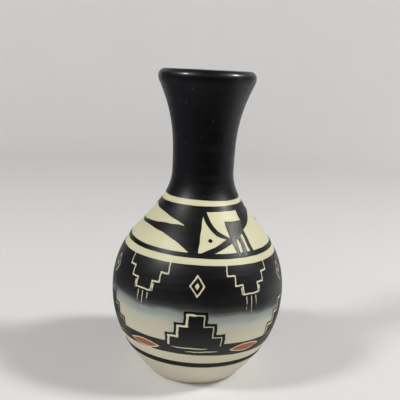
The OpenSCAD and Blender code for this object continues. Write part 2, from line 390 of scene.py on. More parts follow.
@dataclass(frozen=True)
class Bands:
    """Mean heights of the painted edges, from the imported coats' lowest points and the stripes' widths."""

    neck_edge: float
    shoulder_foot: float
    neck_stripe: float = 3 * MM
    upper_border: float = 2.9 * MM
    lower_border: float = 2.4 * MM
    shoulder_stripe: float = 3.6 * MM
    panel_edge: float = 28.2 * MM
    ground_h: float = 8.6 * MM
    panel_stripe: float = 6.3 * MM
    stripe_w: float = 3.6 * MM

    @classmethod
    def from_frame(cls) -> "Bands":
        """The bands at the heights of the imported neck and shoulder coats."""
        return cls(float(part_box("neck_coat")[0][2]), float(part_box("shoulder_coat")[0][2]))

    def height(self, line: Line) -> float:
        """Mean height of a painted edge.

        Args:
            line: the edge.

        Returns:
            Its height above the standing surface.
        """
        shoulder_top = self.neck_edge - self.neck_stripe
        stripe_top = self.panel_edge - self.panel_stripe
        return {Line.NECK_FOOT: self.neck_edge,
                Line.SHOULDER_TOP: shoulder_top,
                Line.FIELD_TOP: shoulder_top - self.upper_border,
                Line.FIELD_BOTTOM: self.shoulder_foot + self.lower_border,
                Line.SHOULDER_FOOT: self.shoulder_foot,
                Line.PANEL_TOP: self.shoulder_foot - self.shoulder_stripe,
                Line.GROUND_TOP: self.panel_edge + self.ground_h,
                Line.PANEL_EDGE: self.panel_edge,
                Line.STRIPE_TOP: stripe_top,
                Line.STRIPE_BOTTOM: stripe_top - self.stripe_w}[line]

    def above(self, line: Line, at: Spots) -> Array:
        """How far spots lie above a painted edge."""
        return line.above(at, self.height(line))


def both(*depths: Array) -> Array:
    """Depth where all the shapes overlap."""
    return np.minimum.reduce(np.broadcast_arrays(*depths))


def either(*depths: Array) -> Array:
    """Depth in any of the shapes."""
    return np.maximum.reduce(np.broadcast_arrays(*depths))


def bowed(start: Point, end: Point, sag: float, count: int = 9) -> list[Point]:
    """Points on a parabola: 4 sag t (1 - t) to the left of the straight way from start to end.

    Args:
        start, end: the way's two ends.
        sag: how far the bow stands off the way in its middle.
        count: how many points to give.

    Returns:
        The points, from start up to end but without it.
    """
    t = np.linspace(0, 1, count, endpoint=False)
    ax, az = start
    dx, dz = end[0] - ax, end[1] - az
    bow = 4 * sag * t * (1 - t) / hypot(dx, dz)
    return list(zip(ax + t * dx - bow * dz, az + t * dz + bow * dx))


@dataclass(frozen=True)
class Drawing:
    """A flat drawing over spots of the skin, by their distances to the right and their heights.

    Each method gives every spot's depth in a shape, in the unit that the drawing uses.
    """

    x: Array
    z: Array

    def disc(self, centre: Point, radius: float, flat: float = 1.0) -> Array:
        """A disc, or an oval flat times as high as wide: its radius less the stretched distance."""
        return (radius - np.hypot(self.x - centre[0], (self.z - centre[1]) / flat)) * flat

    def polygon(self, corners: Sequence[Point]) -> Array:
        """A polygon: the distance to its nearest side, with the sign of an even-odd crossing test.

        Args:
            corners: the polygon's corners, in order.

        Returns:
            Depths in the polygon.
        """
        points = np.asarray(corners, float)
        nearest = np.full(np.shape(self.x), np.inf)
        inside = np.zeros(np.shape(self.x), bool)
        for (ax, az), (bx, bz) in zip(points, np.roll(points, -1, axis=0)):
            ex, ez, px, pz = bx - ax, bz - az, self.x - ax, self.z - az
            t = np.clip((px * ex + pz * ez) / (ex * ex + ez * ez), 0, 1)
            nearest = np.minimum(nearest, np.hypot(px - t * ex, pz - t * ez))
            if ez:
                inside ^= ((az > self.z) != (bz > self.z)) & (px < ex * pz / ez)
        return np.where(inside, nearest, -nearest)

    def stroke(self, start: Point, end: Point, width: float, taper: Taper = Taper.EVEN) -> Array:
        """A straight stroke: half its width at the nearest place along it, less the distance.

        At a share t of the way, a pointed stroke has 1 - 0.9 t^1.5 of its width, and a leaf-shaped one
        0.08 + 0.92 sqrt(4t (1 - t)).

        Args:
            start, end: the stroke's ends.
            width: its full width.
            taper: how it thins along its length.

        Returns:
            Depths in the stroke.
        """
        dx, dz = end[0] - start[0], end[1] - start[1]
        t = np.clip(((self.x - start[0]) * dx + (self.z - start[1]) * dz) / (dx * dx + dz * dz), 0, 1)
        away = np.hypot(self.x - start[0] - t * dx, self.z - start[1] - t * dz)
        share = {Taper.EVEN: np.ones_like(t), Taper.POINTED: 1 - 0.9 * t**1.5,
                 Taper.LEAF: 0.08 + 0.92 * np.sqrt(4 * t * (1 - t))}[taper]
        return width / 2 * share - away


# Meshes


# The bake map's width for a full turn, and its strips, from bottom to top, for a skin and a coat's two faces
MAP_W = 0.98
WHOLE_MAP = (0.01, 0.99)
TOP_STRIP = (0.08, 0.99)
UNDER_STRIP = (0.01, 0.06)


def listed(*columns: Array) -> Array:
    """Arrays of one shape set side by side, as rows with one number from each."""
    return np.stack(columns, -1).reshape(-1, len(columns))


def cells(spot: Array) -> Array:
    """Two triangles for each cell of a grid of numbered spots that closes round the pot."""
    low, high = (np.stack([part, np.roll(part, -1, axis=1)]) for part in (spot[:-1], spot[1:]))
    return np.concatenate([listed(low[0], low[1], high[1]), listed(low[0], high[1], high[0])])


@dataclass(frozen=True)
class Patch:
    """A sheet cut out of a grid of spots: its spots, their depths, its triangles and its open sides."""

    spots: Spots
    depth: Array
    faces: Array
    rims: Array


def cut_out(chain: Chain, grid: Spots, depth: Array) -> Patch:
    """Keeps the part of a closed grid where depth is positive.

    Each cell is two triangles. A side whose ends differ in sign is cut where depth, taken as
    straight along it, is zero. A triangle with one corner inside keeps its tip, and one with two
    keeps the strip below its tip. Depths near zero are pushed off it, so that no sliver is left.

    Args:
        chain: the line that the grid's rows follow.
        grid: spots in rows by columns, closed round the pot.
        depth: signed distances at the spots, negative along the first and last row.

    Returns:
        The sheet, with sides that run round it as its triangles do.
    """
    least = 0.03 * MM
    depth = np.where(np.abs(depth) < least, np.where(depth < 0, -least, least), depth)
    # Sides are numbered in turn: the one across from each spot, the one up from it and the slant one
    spot = np.arange(depth.size).reshape(depth.shape)
    beside = np.roll(spot, -1, axis=1)
    sides = np.concatenate([listed(spot, beside), listed(spot[:-1], spot[1:]), listed(spot[:-1], beside[1:])])
    upright = spot.size + spot[:-1]
    slant = upright + upright.size
    corners = cells(spot)
    edges = np.concatenate([listed(spot[:-1], np.roll(upright, -1, axis=1), slant),
                            listed(slant, spot[1:], upright)])

    flat, turn, walked = depth.ravel(), grid.turn.ravel(), grid.walked.ravel()
    a, b = sides.T
    split = (flat[a] > 0) != (flat[b] > 0)
    at = flat[a[split]] / (flat[a[split]] - flat[b[split]])
    round_off = (turn[b[split]] - turn[a[split]] + pi) % (2 * pi) - pi
    new_turn = turn[a[split]] + at * round_off
    new_walked = walked[a[split]] + at * (walked[b[split]] - walked[a[split]])
    number = np.full(len(sides), -1)
    number[split] = flat.size + np.arange(split.sum())

    inside = flat[corners] > 0
    count = inside.sum(1)
    tip, strip = count == 1, count == 2

    def turned(rows_of: Array, odd: Array) -> Array:
        """Rows of three turned so that the odd one comes first."""
        return np.take_along_axis(rows_of, (odd[:, None] + np.arange(3)) % 3, axis=1)

    tip_v, tip_e = (turned(k[tip], inside[tip].argmax(1)) for k in (corners, number[edges]))
    strip_v, strip_e = (turned(k[strip], inside[strip].argmin(1)) for k in (corners, number[edges]))
    faces = np.concatenate([
        corners[count == 3],
        listed(tip_v[:, 0], tip_e[:, 0], tip_e[:, 2]),
        listed(strip_v[:, 1], strip_v[:, 2], strip_e[:, 2]),
        listed(strip_v[:, 1], strip_e[:, 2], strip_e[:, 0])])
    rims = np.concatenate([tip_e[:, [0, 2]], strip_e[:, [2, 0]]])

    used, faces = np.unique(faces, return_inverse=True)
    faces = faces.reshape(-1, 3)
    rims = np.searchsorted(used, rims)
    turns = np.concatenate([turn, new_turn])[used]
    walks = np.concatenate([walked, new_walked])[used]
    depths = np.concatenate([flat, np.zeros(split.sum())])[used]
    return Patch(Spots.on(chain, turns, walks), depths, faces, rims)


def linked(name: str, data: bpy.types.ID) -> bpy.types.Object:
    """A new object at the origin, linked into the scene.

    Args:
        name: its name.
        data: its mesh, light or camera.

    Returns:
        The object.
    """
    piece = bpy.data.objects.new(name, data)
    bpy.context.scene.collection.objects.link(piece)
    return piece


def note(mesh: bpy.types.Mesh, name: str, values: Array) -> None:
    """Writes a number at each vertex of a mesh, for its material to read."""
    layer = mesh.attributes.new(name, "FLOAT", "POINT")
    layer.data.foreach_set("value", values.astype(np.float32))


def sheet(name: str, points: Array, more: Sequence[Sequence[int]] = ()) -> bpy.types.Mesh:
    """A mesh of quads over an open grid of points.

    Args:
        name: the mesh's name.
        points: rows by columns of x, y and z.
        more: further faces, as numbers of points.

    Returns:
        The mesh.
    """
    spot = np.arange(points[..., 0].size).reshape(points.shape[:2])
    quads = listed(spot[:-1, :-1], spot[:-1, 1:], spot[1:, 1:], spot[1:, :-1])
    mesh = bpy.data.meshes.new(name)
    mesh.from_pydata(points.reshape(-1, 3).tolist(), [], [*quads.tolist(), *more])
    return mesh


def make_mesh(name: str, points: Array, faces: Array, ways: Array, smooth: Array,
              places: Array) -> bpy.types.Object:
    """A mesh object of triangles at the origin, with its own normals and bake map.

    Args:
        name: the piece's name.
        points: vertices, in rows of x, y and z.
        faces: triangles, in rows of three vertices.
        ways: the normal at each face corner, or zeros for the face's own.
        smooth: whether each face is shaded smooth.
        places: the bake map's place for each face corner.

    Returns:
        The linked object.
    """
    mesh = bpy.data.meshes.new(name)
    mesh.vertices.add(len(points))
    mesh.vertices.foreach_set("co", points.astype(np.float32).ravel())
    mesh.loops.add(faces.size)
    mesh.loops.foreach_set("vertex_index", faces.astype(np.int32).ravel())
    mesh.polygons.add(len(faces))
    mesh.polygons.foreach_set("loop_start", np.arange(0, faces.size, 3, dtype=np.int32))
    mesh.polygons.foreach_set("use_smooth", smooth.astype(bool))
    layer = mesh.uv_layers.new(name=BAKE_MAP)
    layer.uv.foreach_set("vector", places.astype(np.float32).ravel())
    mesh.update(calc_edges=True)
    mesh.normals_split_custom_set(ways.reshape(-1, 3).tolist())
    return linked(name, mesh)


def map_places(turns: Array, heights: Array, strip: Point) -> Array:
    """Places on the bake map: the turn goes across it and the height up it, and none is torn at the back.

    Args:
        turns: the turn at each corner of each triangle.
        heights: the height there, from 0 to 1.
        strip: the map's part that the heights fill, from its bottom to its top.

    Returns:
        Places in rows, one for each corner.
    """
    low, high = strip
    half_turn = 0.5
    across = (turns + pi) / (2 * pi)
    torn = np.ptp(across, axis=1, keepdims=True) > half_turn
    across = np.where(torn & (across < half_turn), across + 1, across) * MAP_W
    return listed(across, low + (high - low) * heights)


@dataclass(frozen=True)
class CoatForm:
    """How a coat of slip stands on the clay: its thickness, its root in the clay and its eased edge."""

    thickness: float = 0.28 * MM
    root: float = 0.12 * MM
    ease: float = 0.5 * MM
    edge_share: float = 0.45

    def shell(self, name: str, patch: Patch) -> bpy.types.Object:
        """A closed thin shell over a patch: its top, the same sheet below the skin, and walls between.

        The top stands at the coat's thickness, and thins towards each edge as
        share + (1 - share) (3u^2 - 2u^3), where u is the depth over the eased width, at most 1.

        Args:
            name: the piece's name.
            patch: the sheet to thicken.

        Returns:
            The piece.
        """
        u = np.clip(patch.depth / self.ease, 0, 1)
        lift = self.thickness * (self.edge_share + (1 - self.edge_share) * u * u * (3 - 2 * u))
        spots, count = patch.spots, len(patch.depth)
        points = np.concatenate([spots.lifted(lift), spots.lifted(-self.root)])
        ways = spots.ways_out()
        start, end = patch.rims.T
        walls = np.concatenate([listed(end, start, start + count), listed(end, start + count, end + count)])
        top, under = patch.faces, patch.faces[:, ::-1]
        faces = np.concatenate([top, under + count, walls])
        corner_ways = np.concatenate([ways[top], -ways[under], np.zeros((len(walls), 3, 3))])
        smooth = np.arange(len(faces)) < len(top) + len(under)
        tall = (spots.walked - spots.walked.min()) / np.ptp(spots.walked)
        edge = np.where(walls >= count, walls - count, walls)
        strips = ((top, TOP_STRIP), (under, UNDER_STRIP), (edge, TOP_STRIP))
        places = np.concatenate([map_places(spots.turn[k], tall[k], strip) for k, strip in strips])
        piece = make_mesh(name, points, faces, corner_ways, smooth, places)
        note(piece.data, INSET, np.tile(patch.depth / MM, 2))
        return piece


# Materials


Feed = Union["Wire", float, Sequence[float]]

# The middle of a noise's range
MIDDLE = 0.5

# The smooth skin that rubbing leaves, and a broad brush's streaks, as blobs a metre along each axis
RUBBED_ROUGHNESS = 0.16
RUBBED_IOR = 2.0
BRUSH_STREAKS = (40.0, 40.0, 560.0)


class Wire:
    """A node's output that Python arithmetic goes on from, with a Math node for each operation."""

    def __init__(self, recipe: "Recipe", socket: bpy.types.NodeSocket) -> None:
        """Wraps a socket of a recipe's tree."""
        self.recipe = recipe
        self.socket = socket

    def _math(self, operation: str, *feeds: Feed) -> "Wire":
        """One Math node over the feeds."""
        return self.recipe.add("ShaderNodeMath", {"operation": operation}, dict(enumerate(feeds)))

    def __add__(self, other: Feed) -> "Wire":
        """self + other"""
        return self._math("ADD", self, other)

    __radd__ = __add__

    def __sub__(self, other: Feed) -> "Wire":
        """self - other"""
        return self._math("SUBTRACT", self, other)

    def __rsub__(self, other: Feed) -> "Wire":
        """other - self"""
        return self._math("SUBTRACT", other, self)

    def __mul__(self, other: Feed) -> "Wire":
        """self * other"""
        return self._math("MULTIPLY", self, other)

    __rmul__ = __mul__

    def __truediv__(self, other: Feed) -> "Wire":
        """self / other"""
        return self._math("DIVIDE", self, other)

    def __rtruediv__(self, other: Feed) -> "Wire":
        """other / self"""
        return self._math("DIVIDE", other, self)

    def __lt__(self, other: Feed) -> "Wire":
        """1 where self is less than other, 0 elsewhere"""
        return self._math("LESS_THAN", self, other)

    def __gt__(self, other: Feed) -> "Wire":
        """1 where self is greater than other, 0 elsewhere; also the reflected form of less than"""
        return self._math("GREATER_THAN", self, other)

    def eased(self, low: float, high: float) -> "Wire":
        """0 below low, 1 above high, and a smooth step between."""
        settings = {"interpolation_type": "SMOOTHSTEP"}
        return self.recipe.add("ShaderNodeMapRange", settings, {"Value": self, 1: low, 2: high})


class Recipe:
    """One material's node tree, which grows by expressions."""

    def __init__(self, name: str) -> None:
        """Starts a material with a Principled shader and nothing else.

        Args:
            name: the material's name.
        """
        self.material = bpy.data.materials.new(name)
        self.material.use_nodes = True
        self.tree = self.material.node_tree
        self.shader = self.tree.nodes["Principled BSDF"]
        self.place = self.add("ShaderNodeTexCoord", output="Object")

    def add(self, kind: str, settings: Optional[Mapping[str, object]] = None,
            feeds: Optional[Mapping[Union[int, str], Feed]] = None, output: Union[int, str] = 0) -> Wire:
        """Adds a node.

        Args:
            kind: the node's type.
            settings: its properties, set first; stops are a ramp's places and colours.
            feeds: values or wires for its input sockets.
            output: the output socket to go on from.

        Returns:
            That output.
        """
        node = self.tree.nodes.new(kind)
        for key, value in (settings or {}).items():
            if key == "stops":
                self._set_stops(node.color_ramp, value)
            else:
                setattr(node, key, value)
        for key, feed in (feeds or {}).items():
            self.feed(node.inputs[key], feed)
        return Wire(self, node.outputs[output])

    def feed(self, socket: bpy.types.NodeSocket, feed: Feed) -> None:
        """Links a wire to a socket, or sets the socket's own value.

        Args:
            socket: an input socket.
            feed: the wire or the value.
        """
        if isinstance(feed, Wire):
            self.tree.links.new(feed.socket, socket)
        else:
            socket.default_value = feed

    @staticmethod
    def _set_stops(ramp: bpy.types.ColorRamp, stops: Iterable[tuple[float, Colour]]) -> None:
        """Gives a ramp its places and colours, in order.

        Args:
            ramp: the ramp.
            stops: its places, from 0 to 1, and their colours.
        """
        stops = list(stops)
        while len(ramp.elements) < len(stops):
            ramp.elements.new(1.0)
        for element, (place, colour) in zip(ramp.elements, stops):
            element.position = place
            element.color = (*colour, 1.0)

    def stretched(self, scale: Sequence[float], lean: float = 0.0) -> Wire:
        """Object coordinates scaled by axis, after a turn by lean about the front-to-back axis.

        Args:
            scale: the three axes' scales.
            lean: the turn.

        Returns:
            The coordinates.
        """
        where = self.place
        if lean:
            where = self.add("ShaderNodeMapping", None, {"Vector": where, "Rotation": (0.0, lean, 0.0)})
        return self.add("ShaderNodeVectorMath", {"operation": "MULTIPLY"}, {0: where, 1: scale})

    def noise(self, scale: Union[float, Sequence[float]], detail: float = 2.0, lean: float = 0.0) -> Wire:
        """Cloudy noise from 0 to 1.

        Args:
            scale: blobs a metre, for all the axes or for each of the three.
            detail: how many finer layers it has.
            lean: a turn of its axes about the front-to-back axis.

        Returns:
            The noise.
        """
        across = (scale,) * 3 if isinstance(scale, (int, float)) else scale
        return self.add("ShaderNodeTexNoise", None,
                        {"Vector": self.stretched(across, lean), "Scale": 1.0, "Detail": detail})

    def specks(self, scale: float, size: float, share: float) -> Wire:
        """Sparse dots: the middles of a Voronoi pattern's cells whose own chance is under a share.

        Args:
            scale: cells a metre.
            size: a dot's radius, in cells.
            share: the share of the cells that have a dot.

        Returns:
            1 on the dots and 0 elsewhere, eased over a dot's outer half.
        """
        feeds = {"Vector": self.place, "Scale": scale}
        near = self.add("ShaderNodeTexVoronoi", None, feeds)
        chance = self.add("ShaderNodeTexVoronoi", None, feeds, "Color")
        chosen = self.add("ShaderNodeSeparateColor", None, {0: chance}) < share
        return (1 - near.eased(size * 0.5, size)) * chosen

    @staticmethod
    def weighed(patterns: Iterable[Wire], shares: Iterable[float]) -> Wire:
        """Patterns, each times its share, added up."""
        return reduce(add, (pattern * share for pattern, share in zip(patterns, shares)))

    def uneven(self, noises: Iterable[Wire], shares: Iterable[float]) -> Wire:
        """How far noises stray from their middles, each times its share, added up."""
        return self.weighed((noise - MIDDLE for noise in noises), shares)

    def mix(self, factor: Feed, under: Feed, over: Feed) -> Wire:
        """A colour between two, by a factor from 0 to 1."""
        full = [f if isinstance(f, Wire) else (*f, 1.0) for f in (under, over)]
        return self.add("ShaderNodeMix", {"data_type": "RGBA"}, {0: factor, 6: full[0], 7: full[1]}, 2)

    def attribute(self, name: str) -> Wire:
        """The number that a mesh has noted at its vertices."""
        return self.add("ShaderNodeAttribute", {"attribute_name": name}, None, "Fac")

    def along_mm(self, axis: str) -> Wire:
        """The object's own coordinate along an axis, in millimetres."""
        return self.add("ShaderNodeSeparateXYZ", None, {0: self.place}, axis) * (1 / MM)

    def finish(self, colour: Feed, roughness: Feed, bump: Wire, depth: float, shine: float,
               burnish: Feed = 0.0) -> bpy.types.Material:
        """Feeds the shader.

        Args:
            colour: base colour.
            roughness: roughness.
            bump: height pattern from 0 to 1.
            depth: the bump's depth in metres.
            shine: the shader's specular level.
            burnish: weight of the smooth, rubbed skin over the base.

        Returns:
            The finished material.
        """
        normal = self.add("ShaderNodeBump", None, {"Height": bump, "Distance": depth, "Strength": 1.0})
        feeds = {"Base Color": colour, "Roughness": roughness, "Normal": normal, "Coat Weight": burnish,
                 "Specular IOR Level": shine, "Coat Roughness": RUBBED_ROUGHNESS, "Coat IOR": RUBBED_IOR}
        for socket, feed in feeds.items():
            self.feed(self.shader.inputs[socket], feed)
        return self.material


@dataclass(frozen=True)
class BrushedSlip:
    """Satin slip laid round the pot with a broad brush: cloudy colour, streaks and a little dust.

    Hands have rubbed the lip smoother than the rest. Scales are blobs a metre, and heights millimetres.
    Roughness shares are of clouds and streaks, and bump shares of streaks, grain and dust.
    """

    slot: str
    deep: Colour
    worn: Colour
    dust: Colour
    roughness: float
    dust_share: float = 0.1
    dust_scale: float = 230.0
    dust_size: float = 0.07
    lean: float = 0.0
    cloud_scale: float = 70.0
    streak_scale: Triple = BRUSH_STREAKS
    grain_scale: float = 2200.0
    streak_share: float = 0.35
    contrast: float = 4.0
    shine: float = 0.5
    burnish: float = 0.007
    rubbed_lip: float = 0.0
    lip_h: Point = (180.0, 186.0)
    roughness_shares: Point = (0.16, 0.3)
    dust_roughness: float = 0.2
    bump_shares: Triple = (0.45, 0.35, 0.6)
    depth: float = 0.035 * MM

    def tone(self, recipe: Recipe, wear: Wire) -> Wire:
        """The slip's colour, from deep to worn."""
        return recipe.mix(wear * self.contrast + MIDDLE, self.deep, self.worn)

    @cache
    def material(self) -> bpy.types.Material:
        """The tone wears by clouds and streaks; streaks and grain roughen it.

        Returns:
            The material.
        """
        recipe = Recipe(self.slot)
        clouds = recipe.noise(self.cloud_scale, detail=3.0)
        streaks = recipe.noise(self.streak_scale, detail=3.0, lean=self.lean)
        grain = recipe.noise(self.grain_scale)
        wear = recipe.uneven((clouds, streaks), (1 - self.streak_share, self.streak_share))
        dusty = recipe.specks(self.dust_scale, self.dust_size, self.dust_share)
        colour = recipe.mix(dusty, self.tone(recipe, wear), self.dust)
        uneven = recipe.uneven((clouds, streaks), self.roughness_shares)
        roughness = uneven + dusty * self.dust_roughness + self.roughness
        bump = recipe.weighed((streaks, grain, dusty), self.bump_shares)
        lip = recipe.along_mm("Z").eased(*self.lip_h) * self.rubbed_lip
        rubbed = (1 - dusty) * (lip + self.burnish)
        return recipe.finish(colour, roughness, bump, self.depth, self.shine, rubbed)


@dataclass(frozen=True)
class FeatherSlip(BrushedSlip):
    """Grey slip with a drawn dark outline, darker in the fan and darkest where the fan meets the wing."""

    outline: Colour = (0.012, 0.012, 0.012)
    outline_mm: Point = (0.1, 0.95)
    outline_share: float = 0.55
    fan_h: Point = (93.5, 99.5)
    fan_share: float = 0.38
    wing_x: Point = (19.5, 26.0)
    wing_share: float = 0.45

    def tone(self, recipe: Recipe, wear: Wire) -> Wire:
        """The brushed tone under the outline's colour, by the depth in the coat and the place in the fan.

        Args:
            recipe: the material's recipe.
            wear: how far the slip is worn, round 0.

        Returns:
            The colour.
        """
        away = recipe.add("ShaderNodeMath", {"operation": "ABSOLUTE"}, {0: recipe.along_mm("X")})
        fan = recipe.along_mm("Z").eased(*self.fan_h)
        shade = fan * (away.eased(*self.wing_x) * self.wing_share + self.fan_share)
        drawn = (1 - recipe.attribute(INSET).eased(*self.outline_mm)) * self.outline_share
        return recipe.mix(shade + drawn * (1 - shade), super().tone(recipe, wear), self.outline)


@dataclass(frozen=True)
class ShadedSlip:
    """Sprayed slip that goes from black at the top through blue-grey to pale cream at the ground.

    The stops are shares of the way from the low to the high height, in millimetres, with their colours.
    Scales are blobs a metre, and specks are a scale, a size and a share. Blur shares are of clouds,
    spray and streaks, roughness shares of clouds and streaks, and bump shares of streaks and spray.
    """

    slot: str = "shaded_slip"
    low: float = 38.0
    high: float = 70.0
    tilt: float = -0.055
    cloud_scale: float = 38.0
    spray_scale: float = 1500.0
    roughness: float = 0.44
    shine: float = 0.6
    burnish: float = 0.007
    depth: float = 0.022 * MM
    brushed: Colour = (0.0075, 0.0075, 0.008)
    brushed_from: tuple[Point, Point] = ((0.5, 0.75), (0.6, 0.75))
    dust: Colour = (0.16, 0.16, 0.15)
    dust_specks: Triple = (230.0, 0.07, 0.08)
    dust_weight: float = 0.6
    blur_shares: Triple = (6.0, 2.2, 2.0)
    roughness_shares: Point = (0.14, 0.35)
    bump_shares: Point = (0.4, 0.4)
    stops: tuple[tuple[float, Colour], ...] = (
        (0.0, (0.57, 0.53, 0.40)),
        (0.27, (0.51, 0.485, 0.368)),
        (0.36, (0.44, 0.453, 0.373)),
        (0.44, (0.307, 0.35, 0.317)),
        (0.53, (0.245, 0.266, 0.24)),
        (0.585, (0.105, 0.11, 0.101)),
        (0.635, (0.034, 0.036, 0.033)),
        (0.74, (0.0075, 0.0078, 0.0078)),
        (1.0, (0.0032, 0.0032, 0.0036)))

    @cache
    def material(self) -> bpy.types.Material:
        """The colour follows height, tilted a little and blurred by clouds and by the spray's grain.

        Returns:
            The material.
        """
        recipe = Recipe(self.slot)
        clouds = recipe.noise(self.cloud_scale)
        spray = recipe.noise(self.spray_scale)
        streaks = recipe.noise(BRUSH_STREAKS, detail=3.0)
        blur = recipe.uneven((clouds, spray, streaks), self.blur_shares)
        height = recipe.along_mm("Z") - recipe.along_mm("X") * self.tilt + blur
        share = (height - self.low) / (self.high - self.low)
        tone = recipe.add("ShaderNodeValToRGB", {"stops": self.stops}, {0: share})
        in_streaks, up_the_pot = self.brushed_from
        brushed = streaks.eased(*in_streaks) * share.eased(*up_the_pot)
        dusty = recipe.specks(*self.dust_specks)
        colour = recipe.mix(dusty * self.dust_weight, recipe.mix(brushed, tone, self.brushed), self.dust)
        roughness = recipe.uneven((clouds, streaks), self.roughness_shares) + self.roughness
        bump = recipe.weighed((streaks, spray), self.bump_shares)
        return recipe.finish(colour, roughness, bump, self.depth, self.shine, self.burnish)


@dataclass(frozen=True)
class CreamClay:
    """Smooth burnished clay: warm clouds, rubbing marks round the pot, pinholes and iron specks.

    Scales are blobs a metre, heights are millimetres, and specks are a scale, a size and a share. Warmth
    shares are of clouds, rubbing and grain, roughness shares of clouds and rubbing, bump shares of
    rubbing, grain and the skin between the pits, and weights of the iron specks and the pits' painted shade.
    """

    slot: str = "clay"
    pale: Colour = (0.735, 0.705, 0.48)
    warm: Colour = (0.645, 0.605, 0.375)
    iron: Colour = (0.30, 0.22, 0.12)
    # Colour that the bottom few millimetres darken towards
    bottom_tone: Colour = (0.42, 0.38, 0.28)
    # Grey of the painted shade that darkens the clay under the belly
    underbelly_shade: Colour = (0.55, 0.50, 0.428)
    cloud_scale: float = 55.0
    rubbing_scale: Triple = (30.0, 30.0, 700.0)
    grain_scale: float = 1900.0
    iron_specks: Triple = (260.0, 0.06, 0.12)
    pit_specks: Triple = (340.0, 0.07, 0.08)
    # Weights of the iron specks and of the painted shade that darkens each pit
    iron_and_pit_shade_weights: Point = (0.55, 0.25)
    warmth: float = 0.45
    warmth_shares: Triple = (1.3, 0.5, 0.3)
    # Painted shade under the belly: full below the first height and none above the second, in millimetres,
    # and its weight
    underbelly_shade_h: Point = (20.0, 42.0)
    underbelly_shade_weight: float = 0.65
    # The darker bottom band: full below the first height and none above the second, in millimetres, its
    # weight and added roughness
    bottom_h: Point = (0.2, 4.0)
    bottom_weight: float = 0.55
    bottom_roughness: float = 0.15
    roughness: float = 0.47
    roughness_shares: Point = (0.12, 0.15)
    bump_shares: Triple = (0.35, 0.35, 0.8)
    shine: float = 0.5
    depth: float = 0.03 * MM

    @cache
    def material(self) -> bpy.types.Material:
        """Clouded, rubbed pale and warm clay, iron specks, painted shade in pits and under the belly, darker
        bottom.

        Returns:
            The material.
        """
        recipe = Recipe(self.slot)
        clouds = recipe.noise(self.cloud_scale, detail=3.0)
        rubbing = recipe.noise(self.rubbing_scale, detail=3.0)
        grain = recipe.noise(self.grain_scale)
        iron = recipe.specks(*self.iron_specks)
        pits = recipe.specks(*self.pit_specks)
        height = recipe.along_mm("Z")
        low = 1 - height.eased(*self.bottom_h)
        warmth = recipe.uneven((clouds, rubbing, grain), self.warmth_shares) + self.warmth
        tone = recipe.mix(warmth, self.pale, self.warm)
        # Painted shade: the clay greys and darkens under the belly, down towards the foot
        tone = recipe.mix((1 - height.eased(*self.underbelly_shade_h)) * self.underbelly_shade_weight, tone, self.underbelly_shade)
        # Darker towards the very bottom, clouded a little
        tone = recipe.mix(low * self.bottom_weight + (clouds - MIDDLE) * low, tone, self.bottom_tone)
        # Iron specks, and painted shade that darkens each pinhole towards the same brown
        colour = recipe.mix(recipe.weighed((iron, pits), self.iron_and_pit_shade_weights), tone, self.iron)
        uneven = recipe.uneven((clouds, rubbing), self.roughness_shares)
        roughness = uneven + low * self.bottom_roughness + self.roughness
        bump = recipe.weighed((rubbing, grain, 1 - pits), self.bump_shares)
        return recipe.finish(colour, roughness, bump, self.depth, self.shine)


BLACK_SLIP = BrushedSlip("black_slip", deep=(0.0006, 0.0006, 0.0010), worn=(0.0041, 0.0042, 0.0058),
                         dust=(0.10, 0.10, 0.095), roughness=0.43, dust_share=0.3, streak_share=0.7,
                         shine=0.43)
NECK_SLIP = replace(BLACK_SLIP, deep=(0.0002, 0.0002, 0.0005), worn=(0.0020, 0.0021, 0.0034),
                    dust=(0.09, 0.09, 0.093), dust_share=0.55, dust_scale=330.0, dust_size=0.13,
                    rubbed_lip=0.17, shine=0.5)
GREY_SLIP = FeatherSlip("grey_slip", deep=(0.13, 0.132, 0.13), worn=(0.27, 0.27, 0.26),
                        dust=(0.3, 0.3, 0.28), roughness=0.55, dust_share=0.05, lean=radians(-29.5),
                        streak_scale=(900.0, 60.0, 70.0), streak_share=0.7, shine=0.25)
RUST_SLIP = BrushedSlip("rust_slip", deep=(0.27, 0.062, 0.028), worn=(0.44, 0.13, 0.06),
                        dust=(0.2, 0.08, 0.05), roughness=0.55, streak_share=0.6)
DARK_LINE = BrushedSlip("dark_slip", deep=(0.006, 0.0052, 0.0022), worn=(0.014, 0.0122, 0.005),
                        dust=(0.08, 0.07, 0.05), roughness=0.55, streak_share=0.6, shine=0.12)
CLAY = CreamClay()
SHADED_SLIP = ShadedSlip()
Slip = Union[BrushedSlip, ShadedSlip]


# The vase's own pieces


def settle(piece: bpy.types.Object, node: str, material: bpy.types.Material) -> None:
    """Dresses a piece, puts it in the place of its solid and reports it.

    Args:
        piece: the piece.
        node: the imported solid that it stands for.
        material: its finish.
    """
    piece.data.materials.append(material)
    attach(piece, "root")
    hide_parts(node)
    LOG.info("%s: %d triangles in place of %s", piece.name, len(piece.data.polygons), node)


